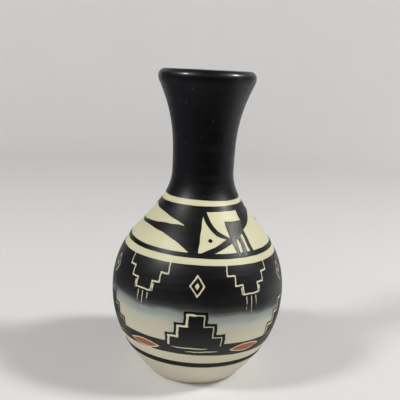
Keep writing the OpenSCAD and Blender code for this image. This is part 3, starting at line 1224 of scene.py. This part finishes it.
@dataclass(frozen=True)
class ClayBody:
    """The hollow vessel, turned as one closed skin from the recess over the lip to the floor inside."""

    wall: Wall
    outside_step: float = 0.8 * MM
    hidden_step: float = 2.0 * MM
    under_step: float = 0.7 * MM
    last_gap: float = 0.3
    cols: int = 192

    def build(self) -> bpy.types.Object:
        """Carries the section round the axis, closed at both poles by fans.

        Returns:
            The piece.
        """
        stretches = (self.wall.underside(), self.wall.outside(), self.wall.inside())
        chain = Chain.through(joined(*stretches))
        marks = chain.walked[np.cumsum([0, *(len(stretch) - 1 for stretch in stretches)])]
        steps = (self.under_step, self.outside_step, self.hidden_step)
        stops = [np.arange(start, end - self.last_gap * step, step)
                 for start, end, step in zip(marks[:-1], marks[1:], steps)]
        rows = np.concatenate([*stops, marks[-1:]])
        spots = Spots.rows(chain, rows[1:-1], self.cols)
        poles = Spots.on(chain, np.zeros(2), rows[[0, -1]])
        points = np.concatenate([spots.lifted(0.0).reshape(-1, 3), poles.lifted(0.0)])
        ways = np.concatenate([spots.ways_out().reshape(-1, 3), [[0, 0, -1], [0, 0, 1]]])
        turns = np.concatenate([spots.turn.ravel(), poles.turn])
        tall = np.concatenate([spots.walked.ravel(), poles.walked]) / marks[-1]
        faces = self._faces(*spots.turn.shape)
        places = map_places(turns[faces], tall[faces], WHOLE_MAP)
        return make_mesh("clay_skin", points, faces, ways[faces], np.ones(len(faces)), places)

    @staticmethod
    def _faces(rows: int, cols: int) -> Array:
        """Two triangles for each cell of the grid, and a fan at either pole.

        Args:
            rows, cols: the grid's size; the poles come after its spots.

        Returns:
            Triangles, in rows of three vertices.
        """
        spot = np.arange(rows * cols).reshape(rows, cols)
        first, last = np.full(cols, spot.size), np.full(cols, spot.size + 1)
        return np.concatenate([cells(spot), listed(np.roll(spot[0], -1), spot[0], first),
                               listed(spot[-1], np.roll(spot[-1], -1), last)])

    def make(self) -> None:
        """Builds and dresses the clay."""
        settle(self.build(), "clay_body", CLAY.material())


@dataclass(frozen=True)
class Coats:
    """What all the coats share: the skin that they lie on, the bands, and how slip stands on clay."""

    chain: Chain
    bands: Bands
    form: CoatForm = CoatForm()
    spare: float = 2.4 * MM

    def grid(self, bottom: float, top: float, step: float, cols: int) -> Spots:
        """A grid of spots from one height to another, with room to spare for tilts and wavers.

        Args:
            bottom, top: the heights.
            step: distance from row to row.
            cols: columns round the pot.

        Returns:
            Spots in rows by columns.
        """
        first, last = self.chain.walk_to(bottom - self.spare), self.chain.walk_to(top + self.spare)
        return Spots.grid(self.chain, first, last, step, cols)

    def lay(self, name: str, node: str, grid: Spots, depth: Array, slip: Slip,
            form: Optional[CoatForm] = None) -> None:
        """Cuts a coat out of a grid, thickens it and puts it in the place of its solid.

        Args:
            name: the coat's name.
            node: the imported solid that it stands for.
            grid: spots to cut from.
            depth: signed distances at the spots.
            slip: the coat's finish.
            form: the coat's thickness and edges, if they aren't the usual ones.
        """
        patch = cut_out(self.chain, grid, depth)
        settle((form or self.form).shell(name, patch), node, slip.material())


@dataclass(frozen=True)
class NeckCoat:
    """The black coat of the neck, over the lip and a little way into the mouth."""

    coats: Coats
    rim_z: float
    into_mouth: float = 12 * MM
    mouth_waves: tuple[tuple[float, int, float], ...] = ((0.5 * MM, 5, 0.0), (0.3 * MM, 13, 1.0))
    step: float = 0.75 * MM
    cols: int = 220

    def make(self) -> None:
        """A band from the wavering lower edge over the lip to a rough edge inside the mouth."""
        chain, bands = self.coats.chain, self.coats.bands
        crest = int(np.argmax(chain.z))
        end = float(np.interp(self.into_mouth - self.rim_z, -chain.z[crest:], chain.walked[crest:]))
        first = chain.walk_to(bands.neck_edge - self.coats.spare)
        grid = Spots.grid(chain, first, end + self.coats.spare, self.step, self.cols)
        foot = bands.above(Line.NECK_FOOT, grid)
        rough = sum(size * np.sin(count * grid.turn + phase) for size, count, phase in self.mouth_waves)
        depth = np.where(grid.walked < chain.walked[crest], foot, end - grid.walked + rough)
        self.coats.lay("neck_slip", "neck_coat", grid, depth, NECK_SLIP)


@dataclass(frozen=True)
class ShoulderBand:
    """The black borders and claws, the dot, the bow with its keel, the wing and the grey feathers.

    The drawing is flat and in millimetres, to the right of the spine and above the field's lower edge,
    seen from the front. It is carried straight back on to the shoulder, and turned half round for the
    back.
    """

    coats: Coats
    over: float = 25.0
    under: float = -5.0
    spine: tuple[Point, Point] = ((2.0, 25.0), (-1.1, -5.0))
    heel: Point = (-6.3, 0.4)
    claw_tip: tuple[Point, Point] = ((-34.8, 9.3), (-35.1, 10.4))
    notch: Point = (-8.6, 12.75)
    upper_tip: tuple[Point, Point] = ((-26.2, 18.8), (-26.9, 20.0))
    apex: Point = (0.95, 19.5)
    beak: Point = (15.6, 6.55)
    bow_top: Point = (3.2, 20.25)
    bow_tip: Point = (17.2, 7.35)
    keel_end: tuple[Point, Point] = ((18.6, 6.8), (19.3, 4.8))
    keel_foot: tuple[Point, Point] = ((8.45, 0.0), (-1.0, -0.35))
    wing_axis: Point = (22.1, 15.8)
    wing_r: float = 6.6
    wing_edge: tuple[Point, ...] = ((18.4, 25.0), (20.55, 20.4), (23.9, 14.1), (25.15, 10.5), (25.6, 8.0))
    quill: tuple[Point, Point] = ((24.4, 10.6), (33.6, -5.0))
    quill_w: float = 1.6
    fan: tuple[Point, ...] = ((13.9, 15.2), (24.0, 14.75), (25.2, 10.3), (25.45, 8.9), (23.5, 7.6))
    second_feather: tuple[Point, ...] = ((26.6, 2.96), (28.05, -0.34), (28.7, -5.0), (27.2, -5.0),
                                         (25.4, -0.1), (24.3, 3.31), (22.4, 5.9))
    slit: Point = (21.2, 6.5)
    first_feather: tuple[Point, ...] = ((23.65, 0.09), (25.9, -5.0), (23.8, -5.0), (21.85, -0.26),
                                        (16.9, 8.6))
    dot: Point = (6.2, 6.15)
    dot_r: float = 1.2
    dot_flat: float = 0.75
    claw_sags: Triple = (-2.55, 0.95, -0.3)
    bow_sags: Point = (-2.75, 2.15)
    keel_sags: Point = (0.6, -0.33)
    far_right: float = 40.0
    sway: float = 0.1
    sway_across: Point = (0.9, 0.2)
    sway_up: Point = (0.7, 1.0)
    near: float = 2 * MM
    fineness: Fineness = (0.42 * MM, 560)
    dot_fineness: Fineness = (0.2 * MM, 1200)
    dot_span: Point = (4 * MM, 9 * MM)
    dot_form: CoatForm = CoatForm(ease=0.8 * MM)
    feather_form: CoatForm = CoatForm(thickness=0.33 * MM)
    feather_gap: float = 0.35 * MM

    def claws(self, on: Drawing) -> Array:
        """Two claws that reach left from the spine, with edges bowed as a brush sweeps them.

        Args:
            on: the drawing.

        Returns:
            Depths in the claws.
        """
        (low_tip, high_tip), (corner, end) = self.claw_tip, self.upper_tip
        under, over, above = self.claw_sags
        return on.polygon([*self.spine, (self.heel[0], self.under), *bowed(self.heel, low_tip, under),
                           low_tip, *bowed(high_tip, self.notch, over), *bowed(self.notch, corner, above),
                           corner, end, (end[0], self.over)])

    def bow(self, on: Drawing) -> Array:
        """The bowed bar between two arcs, thickest in its middle, and the keel back to the border.

        Args:
            on: the drawing.

        Returns:
            Depths in the bar and the keel.
        """
        left, right = self.bow_sags
        bar = on.polygon([*bowed(self.apex, self.beak, left), self.beak,
                          *bowed(self.bow_tip, self.bow_top, right), self.bow_top,
                          (self.bow_top[0], self.over), self.spine[0]])
        (start, end), (over, under) = self.keel_foot, self.keel_sags
        keel = on.polygon([*bowed(self.beak, end, over), end, (end[0], self.under), (start[0], self.under),
                           *bowed(start, self.keel_end[1], under), *self.keel_end[::-1], self.bow_tip])
        return either(bar, keel)

    def wing(self, on: Drawing) -> Array:
        """A disc cut by a leaning edge, and the quill that hangs from its lower end.

        Args:
            on: the drawing.

        Returns:
            Depths in the wing and the quill.
        """
        low = self.wing_edge[-1][1]
        right = on.polygon([*self.wing_edge, (self.far_right, low), (self.far_right, self.over)])
        return either(both(on.disc(self.wing_axis, self.wing_r), right), on.stroke(*self.quill, self.quill_w))

    def feathers(self, on: Drawing) -> Array:
        """The grey fan against the wing and its two feathers, which run on over the lower border."""
        return on.polygon([*self.fan, *self.second_feather, self.slit, *self.first_feather])

    def dots(self, on: Drawing) -> Array:
        """The flattened dot in the triangle between the spine and the bow."""
        return on.disc(self.dot, self.dot_r, self.dot_flat)

    def on_both_sides(self, grid: Spots, shape: Callable[[Drawing], Array]) -> Array:
        """Depth in a drawn shape on the front and, turned half round, on the back.

        The hand's slow sway moves the drawing across by a wave of its height and its x, and up by one of x.

        Args:
            grid: spots on the shoulder.
            shape: the method that draws it.

        Returns:
            Depths in metres.
        """
        (by_z, by_x), (rate, phase) = self.sway_across, self.sway_up
        z = (grid.z - self.coats.bands.height(Line.FIELD_BOTTOM)) / MM
        depths = []
        for side in Side:
            x = side.value * grid.x / MM
            across, up = np.sin(by_z * z + by_x * x), np.sin(rate * x + phase)
            depth = shape(Drawing(x + self.sway * across, z + self.sway * up)) * MM
            depths.append(both(depth, side.value * grid.near - self.near))
        return either(*depths)

    def make(self) -> None:
        """Lays the black coat, the dots and the grey feathers."""
        coats, bands = self.coats, self.coats.bands
        grid = coats.grid(bands.shoulder_foot, bands.height(Line.SHOULDER_TOP), *self.fineness)
        above_foot = bands.above(Line.SHOULDER_FOOT, grid)
        below_top = -bands.above(Line.FIELD_TOP, grid)
        band = both(-bands.above(Line.SHOULDER_TOP, grid), above_foot)
        borders = either(-below_top, -bands.above(Line.FIELD_BOTTOM, grid))
        drawn = either(*(self.on_both_sides(grid, shape) for shape in (self.claws, self.bow, self.wing)))
        coats.lay("shoulder_slip", "shoulder_coat", grid, both(band, either(borders, drawn)), BLACK_SLIP)

        low, high = (bands.height(Line.FIELD_BOTTOM) + end for end in self.dot_span)
        fine = coats.grid(low, high, *self.dot_fineness)
        dots = self.on_both_sides(fine, self.dots)
        coats.lay("dot_slip", "shoulder_dots", fine, dots, BLACK_SLIP, self.dot_form)

        grey = both(self.on_both_sides(grid, self.feathers), above_foot - self.feather_gap, below_top)
        coats.lay("feather_slip", "feather_coat", grid, grey, GREY_SLIP, self.feather_form)


@dataclass(frozen=True)
class BellyPanel:
    """The shaded belly with its black ground, stepped terraces, rust lenses and scratched lines.

    Each of the repeats is drawn flat, with x round the belly from its own middle, and folded round
    the pot by turn. The lines are cut through the slip, so that the clay shows in them.
    """

    coats: Coats
    belly_r: float
    repeats: int = 5
    steps: int = 3
    terrace_w: float = 36 * MM
    step_h: float = 7 * MM
    step_in: float = 5.5 * MM
    lens_w: float = 20 * MM
    lens_h: float = 4 * MM
    lens_share: float = 0.46
    lens_line: float = 0.85 * MM
    cloud_w: float = 31 * MM
    cloud_h: float = 5.4 * MM
    cloud_in: float = 5 * MM
    line_w: float = 0.95 * MM
    echo_inset: float = 2.1 * MM
    echo_shares: Point = (1.5, 0.75)
    echo_drop: float = 1.5 * MM
    rain_pitch: float = 3.4 * MM
    rain_lengths: tuple[float, ...] = (7.5 * MM, 10.5 * MM, 13.5 * MM, 9 * MM, 6.5 * MM)
    rain_gap: float = 1.6 * MM
    rain_w: float = 0.8 * MM
    ground_strokes: tuple[tuple[Point, Point, float], ...] = (
        ((-15 * MM, 6 * MM), (9 * MM, 5.6 * MM), 0.95 * MM),
        ((-7 * MM, 3.2 * MM), (16 * MM, 3.6 * MM), 0.9 * MM))
    diamond_drop: float = 10.5 * MM
    diamond_half: Point = (4.2 * MM, 5.6 * MM)
    diamond_r: float = 3.3 * MM
    diamond_core: float = 0.36
    sway: float = 0.25 * MM
    sway_across: tuple[Triple, ...] = ((0.5, 900.0, 2.4), (0.3, 2300.0, 1.3))
    sway_up: tuple[tuple[float, int, float], ...] = ((0.4, 31, 0.0), (0.24, 67, 2.0))
    shade_fineness: Fineness = (0.6 * MM, 570)
    ground_fineness: Fineness = (0.48 * MM, 640)
    lens_fineness: Fineness = (0.3 * MM, 1000)

    def folded(self, grid: Spots, middle: float) -> Drawing:
        """The drawing of the nearest repeat at each spot, with a slow sway of the hand.

        The sway is a sum of waves: across, of the height, with a phase that grows from repeat to repeat,
        and up, of the turn.

        Args:
            grid: spots on the belly.
            middle: where the repeats' middles lie, as a share of the angle between two.

        Returns:
            Distances round the belly from the repeat's middle, and heights.
        """
        angle = 2 * pi / self.repeats
        count = np.round(grid.turn / angle - middle)
        across = sum(share * np.sin(rate * grid.z + phase * count) for share, rate, phase in self.sway_across)
        up = sum(share * np.sin(waves * grid.turn + phase) for share, waves, phase in self.sway_up)
        x = (grid.turn - (count + middle) * angle) * self.belly_r
        return Drawing(x + self.sway * across, grid.z + self.sway * up)

    def stepped(self, on: Drawing, beyond: Array, width: float, setback: float, rise: float) -> Array:
        """A stepped block: each step is narrower than the last by a setback on either side.

        Args:
            on: the drawing.
            beyond: how far spots lie behind the line that the steps rise from.
            width: the first step's width.
            setback: the setback.
            rise: each step's height.

        Returns:
            Depths in the block, which goes on behind the line.
        """
        return either(*(both(width / 2 - k * setback - np.abs(on.x), beyond + (k + 1) * rise)
                        for k in range(self.steps)))

    def terraces(self, on: Drawing) -> Array:
        """A stepped block that stands on the ground's top."""
        beyond = self.coats.bands.height(Line.GROUND_TOP) - on.z
        return self.stepped(on, beyond, self.terrace_w, self.step_in, self.step_h)

    def clouds(self, on: Drawing) -> Array:
        """A stepped block that hangs from the panel's top."""
        beyond = on.z - self.coats.bands.height(Line.PANEL_TOP)
        return self.stepped(on, beyond, self.cloud_w, self.cloud_in, self.cloud_h)

    def lens(self, on: Drawing) -> Array:
        """A lens between two equal arcs.

        Args:
            on: the drawing.

        Returns:
            Depths in the lens.
        """
        half_w, half_h = self.lens_w / 2, self.lens_h / 2
        radius = (half_w**2 + half_h**2) / self.lens_h
        middle = self.coats.bands.panel_edge + self.lens_share * self.coats.bands.ground_h
        off = radius - half_h
        return both(on.disc((0.0, middle - off), radius), on.disc((0.0, middle + off), radius))

    def rain(self, on: Drawing) -> Array:
        """Thin strokes that fall from the cloud's last step, and the outer two from the step before it.

        Args:
            on: the drawing.

        Returns:
            Depths in the strokes.
        """
        top = self.coats.bands.height(Line.PANEL_TOP) - self.rain_gap
        outer = len(self.rain_lengths) // 2
        falls = []
        for k, length in enumerate(self.rain_lengths, -outer):
            step = self.steps - 1 if abs(k) == outer else self.steps
            x, z = k * self.rain_pitch, top - step * self.cloud_h
            falls.append(on.stroke((x, z), (x, z - length), self.rain_w, Taper.POINTED))
        return either(*falls)

    def ground_lines(self, on: Drawing) -> Array:
        """Long leaf-shaped strokes in the ground under each terrace, placed from the panel's lower edge."""
        above = Drawing(on.x, on.z - self.coats.bands.panel_edge)
        return either(*(above.stroke(*stroke, Taper.LEAF) for stroke in self.ground_strokes))

    def diamond(self, on: Drawing) -> Array:
        """A scratched diamond above each terrace, with a small solid one inside it.

        The distance is |x| / half width + |z| / half height, which is 1 on the diamond's sides.

        Args:
            on: the drawing.

        Returns:
            Depths in the scratched lines.
        """
        half_w, half_h = self.diamond_half
        middle = self.coats.bands.height(Line.PANEL_TOP) - self.diamond_drop
        away = np.abs(on.x) / half_w + np.abs(on.z - middle) / half_h
        ring = self.line_w / 2 - np.abs(away - 1) * self.diamond_r
        return either(ring, (self.diamond_core - away) * self.diamond_r)

    def lay_shade(self) -> None:
        """The shaded coat, with the clouds, the rain and the diamonds scratched through it."""
        bands = self.coats.bands
        grid = self.coats.grid(bands.panel_edge, bands.height(Line.PANEL_TOP), *self.shade_fineness)
        blocks, gaps = self.folded(grid, 0.0), self.folded(grid, 0.5)
        panel = both(bands.above(Line.PANEL_EDGE, grid), -bands.above(Line.PANEL_TOP, grid))
        dark = either(-bands.above(Line.GROUND_TOP, grid), self.terraces(blocks))
        cloud_line = self.line_w / 2 - np.abs(self.clouds(gaps))
        scratched = either(cloud_line, self.rain(gaps), self.diamond(blocks))
        self.coats.lay("fade_slip", "fade_coat", grid, both(panel, -dark, -scratched), SHADED_SLIP)

    def lay_ground(self) -> None:
        """The black ground and terraces, with an echo of each terrace's outline scratched inside it."""
        bands = self.coats.bands
        base = bands.height(Line.GROUND_TOP)
        grid = self.coats.grid(bands.panel_edge, base + self.steps * self.step_h, *self.ground_fineness)
        blocks = self.folded(grid, 0.0)
        block = self.terraces(blocks)
        dark = both(either(-bands.above(Line.GROUND_TOP, grid), block), bands.above(Line.PANEL_EDGE, grid))
        echo_w = np.where(blocks.x < 0, *self.echo_shares) * self.line_w / 2
        echo = both(echo_w - np.abs(block - self.echo_inset), blocks.z - base + self.echo_drop)
        lens = self.lens(self.folded(grid, 0.5)) + self.lens_line
        scratched = either(echo, self.ground_lines(blocks), lens)
        self.coats.lay("terrace_slip", "terrace_coat", grid, both(dark, -scratched), BLACK_SLIP)

    def lay_lenses(self) -> None:
        """The rust lenses in the ground, between the terraces."""
        bands = self.coats.bands
        grid = self.coats.grid(bands.panel_edge, bands.height(Line.GROUND_TOP), *self.lens_fineness)
        lens = both(self.lens(self.folded(grid, 0.5)), bands.above(Line.PANEL_EDGE, grid))
        self.coats.lay("rust_lenses", "rust_coat", grid, lens, RUST_SLIP)

    def make(self) -> None:
        """Lays the panel's three coats."""
        self.lay_shade()
        self.lay_ground()
        self.lay_lenses()


@dataclass(frozen=True)
class FootStripe:
    """The thin dark line that was brushed round the foot on a wheel."""

    coats: Coats
    step: float = 0.4 * MM
    cols: int = 480

    def make(self) -> None:
        """A narrow belt between two wavering edges."""
        bands = self.coats.bands
        low, high = bands.height(Line.STRIPE_BOTTOM), bands.height(Line.STRIPE_TOP)
        grid = self.coats.grid(low, high, self.step, self.cols)
        belt = both(-bands.above(Line.STRIPE_TOP, grid), bands.above(Line.STRIPE_BOTTOM, grid))
        self.coats.lay("foot_line", "foot_stripe", grid, belt, DARK_LINE)


# Studio


@dataclass(frozen=True)
class Lamp:
    """A square soft lamp that faces the middle of the pot."""

    name: str
    turn: float
    rise: float
    distance: float
    size: float
    watts: float

    def make(self, aim: Vector) -> None:
        """Hangs the lamp at its turn and rise, at its distance from the aim.

        Args:
            aim: the place that it faces.
        """
        way = Vector((cos(self.rise) * sin(self.turn), -cos(self.rise) * cos(self.turn), sin(self.rise)))
        light = bpy.data.lights.new(self.name, "AREA")
        light.size = self.size
        light.energy = self.watts
        lamp = linked(self.name, light)
        lamp.location = aim + way * self.distance
        lamp.rotation_euler = way.to_track_quat("Z", "Y").to_euler()
        lamp.visible_camera = False


@dataclass(frozen=True)
class Card:
    """A card bent round the pot's axis, which shows in reflections alone.

    Its edges are places in radius and height. Its shades are degrees round the pot from the front, each
    with the card's paleness there, and the first and last of them are its ends.
    """

    name: str
    near: Point
    far: Point
    shades: tuple[Point, ...]
    pale: Colour = (0.93, 0.95, 1.12)
    weave_scale: float = 700.0
    weave_depth: float = 0.1 * MM
    roughness: float = 0.9
    pieces: int = 60

    def material(self) -> bpy.types.Material:
        """A finely woven black to pale, by the shade that the card's mesh has noted.

        Returns:
            The material.
        """
        recipe = Recipe(self.name)
        colour = recipe.mix(recipe.attribute(SHADE), (0.0, 0.0, 0.0), self.pale)
        return recipe.finish(colour, self.roughness, recipe.noise(self.weave_scale), self.weave_depth, 0.0)

    def make(self) -> None:
        """A strip of flat pieces from the near edge to the far one, as pale as its nearest shades say."""
        degrees, shades = np.transpose(self.shades)
        turns = np.linspace(degrees[0], degrees[-1], self.pieces + 1)
        ways = np.stack([np.sin(np.radians(turns)), -np.cos(np.radians(turns))], -1)
        edges = [np.insert(r * ways, 2, z, axis=1) for r, z in (self.near, self.far)]
        mesh = sheet(self.name, np.stack(edges))
        note(mesh, SHADE, np.tile(np.interp(turns, degrees, shades), 2))
        mesh.materials.append(self.material())
        card = linked(self.name, mesh)
        card.visible_camera = False
        card.visible_shadow = False
        card.visible_diffuse = False


@dataclass(frozen=True)
class PaleFloor:
    """A pale matt floor, clouded a little and finely grained."""

    slot: str = "pale_floor"
    pale: Colour = (0.84, 0.83, 0.82)
    darkest: float = 0.97
    cloud_scale: float = 6.0
    grain_scale: float = 900.0
    roughness: float = 0.8
    shine: float = 0.2
    depth: float = 0.02 * MM

    def material(self) -> bpy.types.Material:
        """The pale colour, a little darker in its clouds.

        Returns:
            The material.
        """
        recipe = Recipe(self.slot)
        darker = tuple(self.darkest * channel for channel in self.pale)
        colour = recipe.mix(recipe.noise(self.cloud_scale), self.pale, darker)
        grain = recipe.noise(self.grain_scale)
        return recipe.finish(colour, self.roughness, grain, self.depth, self.shine)


@dataclass(frozen=True)
class Studio:
    """Camera, lamps, cards, a dim room and a round pale floor that sweeps up into a wall."""

    camera_at: Triple = (-0.91 * MM, -368.35 * MM, 191.64 * MM)
    pitch: float = radians(12.482)
    roll: float = radians(2.784)
    frame_px: float = 400.0
    focal_px: float = 600.0
    sensor: float = 36.0
    nearest: float = 10 * MM
    room: Colour = (1.0, 1.0, 1.0)
    room_strength: float = 0.06
    hub_r: float = 2 * MM
    floor_r: float = 0.9
    sweep_r: float = 0.5
    wall_top: float = 1.3
    floor_turns: int = 72
    floor_finish: PaleFloor = PaleFloor()
    lamps: tuple[Lamp, ...] = (
        Lamp("left_lamp", turn=radians(-60), rise=radians(41), distance=1.5, size=0.24, watts=9.15),
        Lamp("right_lamp", turn=radians(82), rise=radians(43.5), distance=1.5, size=0.24, watts=12.4))
    cards: tuple[Card, ...] = (
        Card("near_card", (0.10, MM), (0.21, MM),
             ((-134, 0.2), (-120, 0.38), (-84, 0.44), (-60, 0.38), (-39, 0.31), (-20, 0.23), (5, 0.17),
              (40, 0.17), (60, 0.25), (84, 0.32), (112, 0.26))),
        Card("floor_card", (0.21, MM), (0.55, MM),
             ((-133, 0.16), (-104, 0.21), (-74, 0.21), (-50, 0.12), (-28, 0.09), (0, 0.05), (40, 0.05),
              (58, 0.08), (84, 0.28), (92, 0.28))),
        Card("low_card", (0.55, MM), (0.55, 0.2),
             ((-134, 0.1), (-107, 0.19), (-80, 0.15), (-58, 0.05), (-25, 0.03), (0, 0.004), (50, 0.004),
              (65, 0.09), (82, 0.48), (107, 0.36), (128, 0.36))),
        Card("high_card", (0.55, 0.2), (0.55, 0.5),
             ((-134, 0.04), (-75, 0.02), (-45, 0.04), (-25, 0.12), (-5, 0.09), (15, 0.006), (75, 0.004),
              (128, 0.03))))

    def camera(self) -> None:
        """Stands the camera in front, pitched down and rolled, with the photograph's field of view."""
        data = bpy.data.cameras.new("camera")
        data.sensor_fit = "HORIZONTAL"
        data.sensor_width = self.sensor
        data.lens = self.sensor * self.focal_px / self.frame_px
        data.clip_start = self.nearest
        camera = linked("camera", data)
        tilt = Matrix.Rotation(pi / 2 - self.pitch, 4, "X") @ Matrix.Rotation(self.roll, 4, "Z")
        camera.matrix_world = Matrix.Translation(self.camera_at) @ tilt
        bpy.context.scene.camera = camera

    def light(self) -> None:
        """Hangs the lamps, stands the cards and fills the room with a dim even light."""
        low, high = CAD_BOX
        for lamp in self.lamps:
            lamp.make((Vector(low) + Vector(high)) / 2)
        for card in self.cards:
            card.make()
        world = bpy.data.worlds.new("room")
        world.use_nodes = True
        background = world.node_tree.nodes["Background"]
        background.inputs["Color"].default_value = (*self.room, 1.0)
        background.inputs["Strength"].default_value = self.room_strength
        bpy.context.scene.world = world
        bpy.context.scene.view_settings.view_transform = "Standard"

    def floor(self) -> None:
        """A disc that sweeps up through a quarter round into a wall, carried round the axis."""
        flat = np.linspace((self.hub_r, 0.0), (self.floor_r, 0.0), num=12)
        sweep = arc((self.floor_r, self.sweep_r), self.sweep_r, -90, 0, count=14)
        up = np.linspace(sweep[-1], (sweep[-1][0], self.wall_top), num=5)
        r, z = joined(flat, sweep, up).T[..., None]
        turns = np.linspace(pi, -pi, self.floor_turns + 1)
        points = np.stack(np.broadcast_arrays(r * np.sin(turns), -r * np.cos(turns), z), -1)
        hub = list(range(self.floor_turns))[::-1]
        mesh = sheet("floor", points, [hub])
        mesh.polygons.foreach_set("use_smooth", np.ones(len(mesh.polygons), bool))
        mesh.materials.append(self.floor_finish.material())
        floor = linked("floor", mesh)


def main() -> None:
    """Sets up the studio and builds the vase's pieces in order."""
    logging.basicConfig(level=logging.INFO, format="%(name)s: %(message)s")
    studio = Studio()
    studio.camera()
    studio.light()
    studio.floor()
    wall = Wall.from_frame()
    coats = Coats(Chain.through(wall.outside()), Bands.from_frame())
    ClayBody(wall).make()
    NeckCoat(coats, wall.height).make()
    ShoulderBand(coats).make()
    BellyPanel(coats, wall.belly_r).make()
    FootStripe(coats).make()


if __name__ == "__main__":
    main()
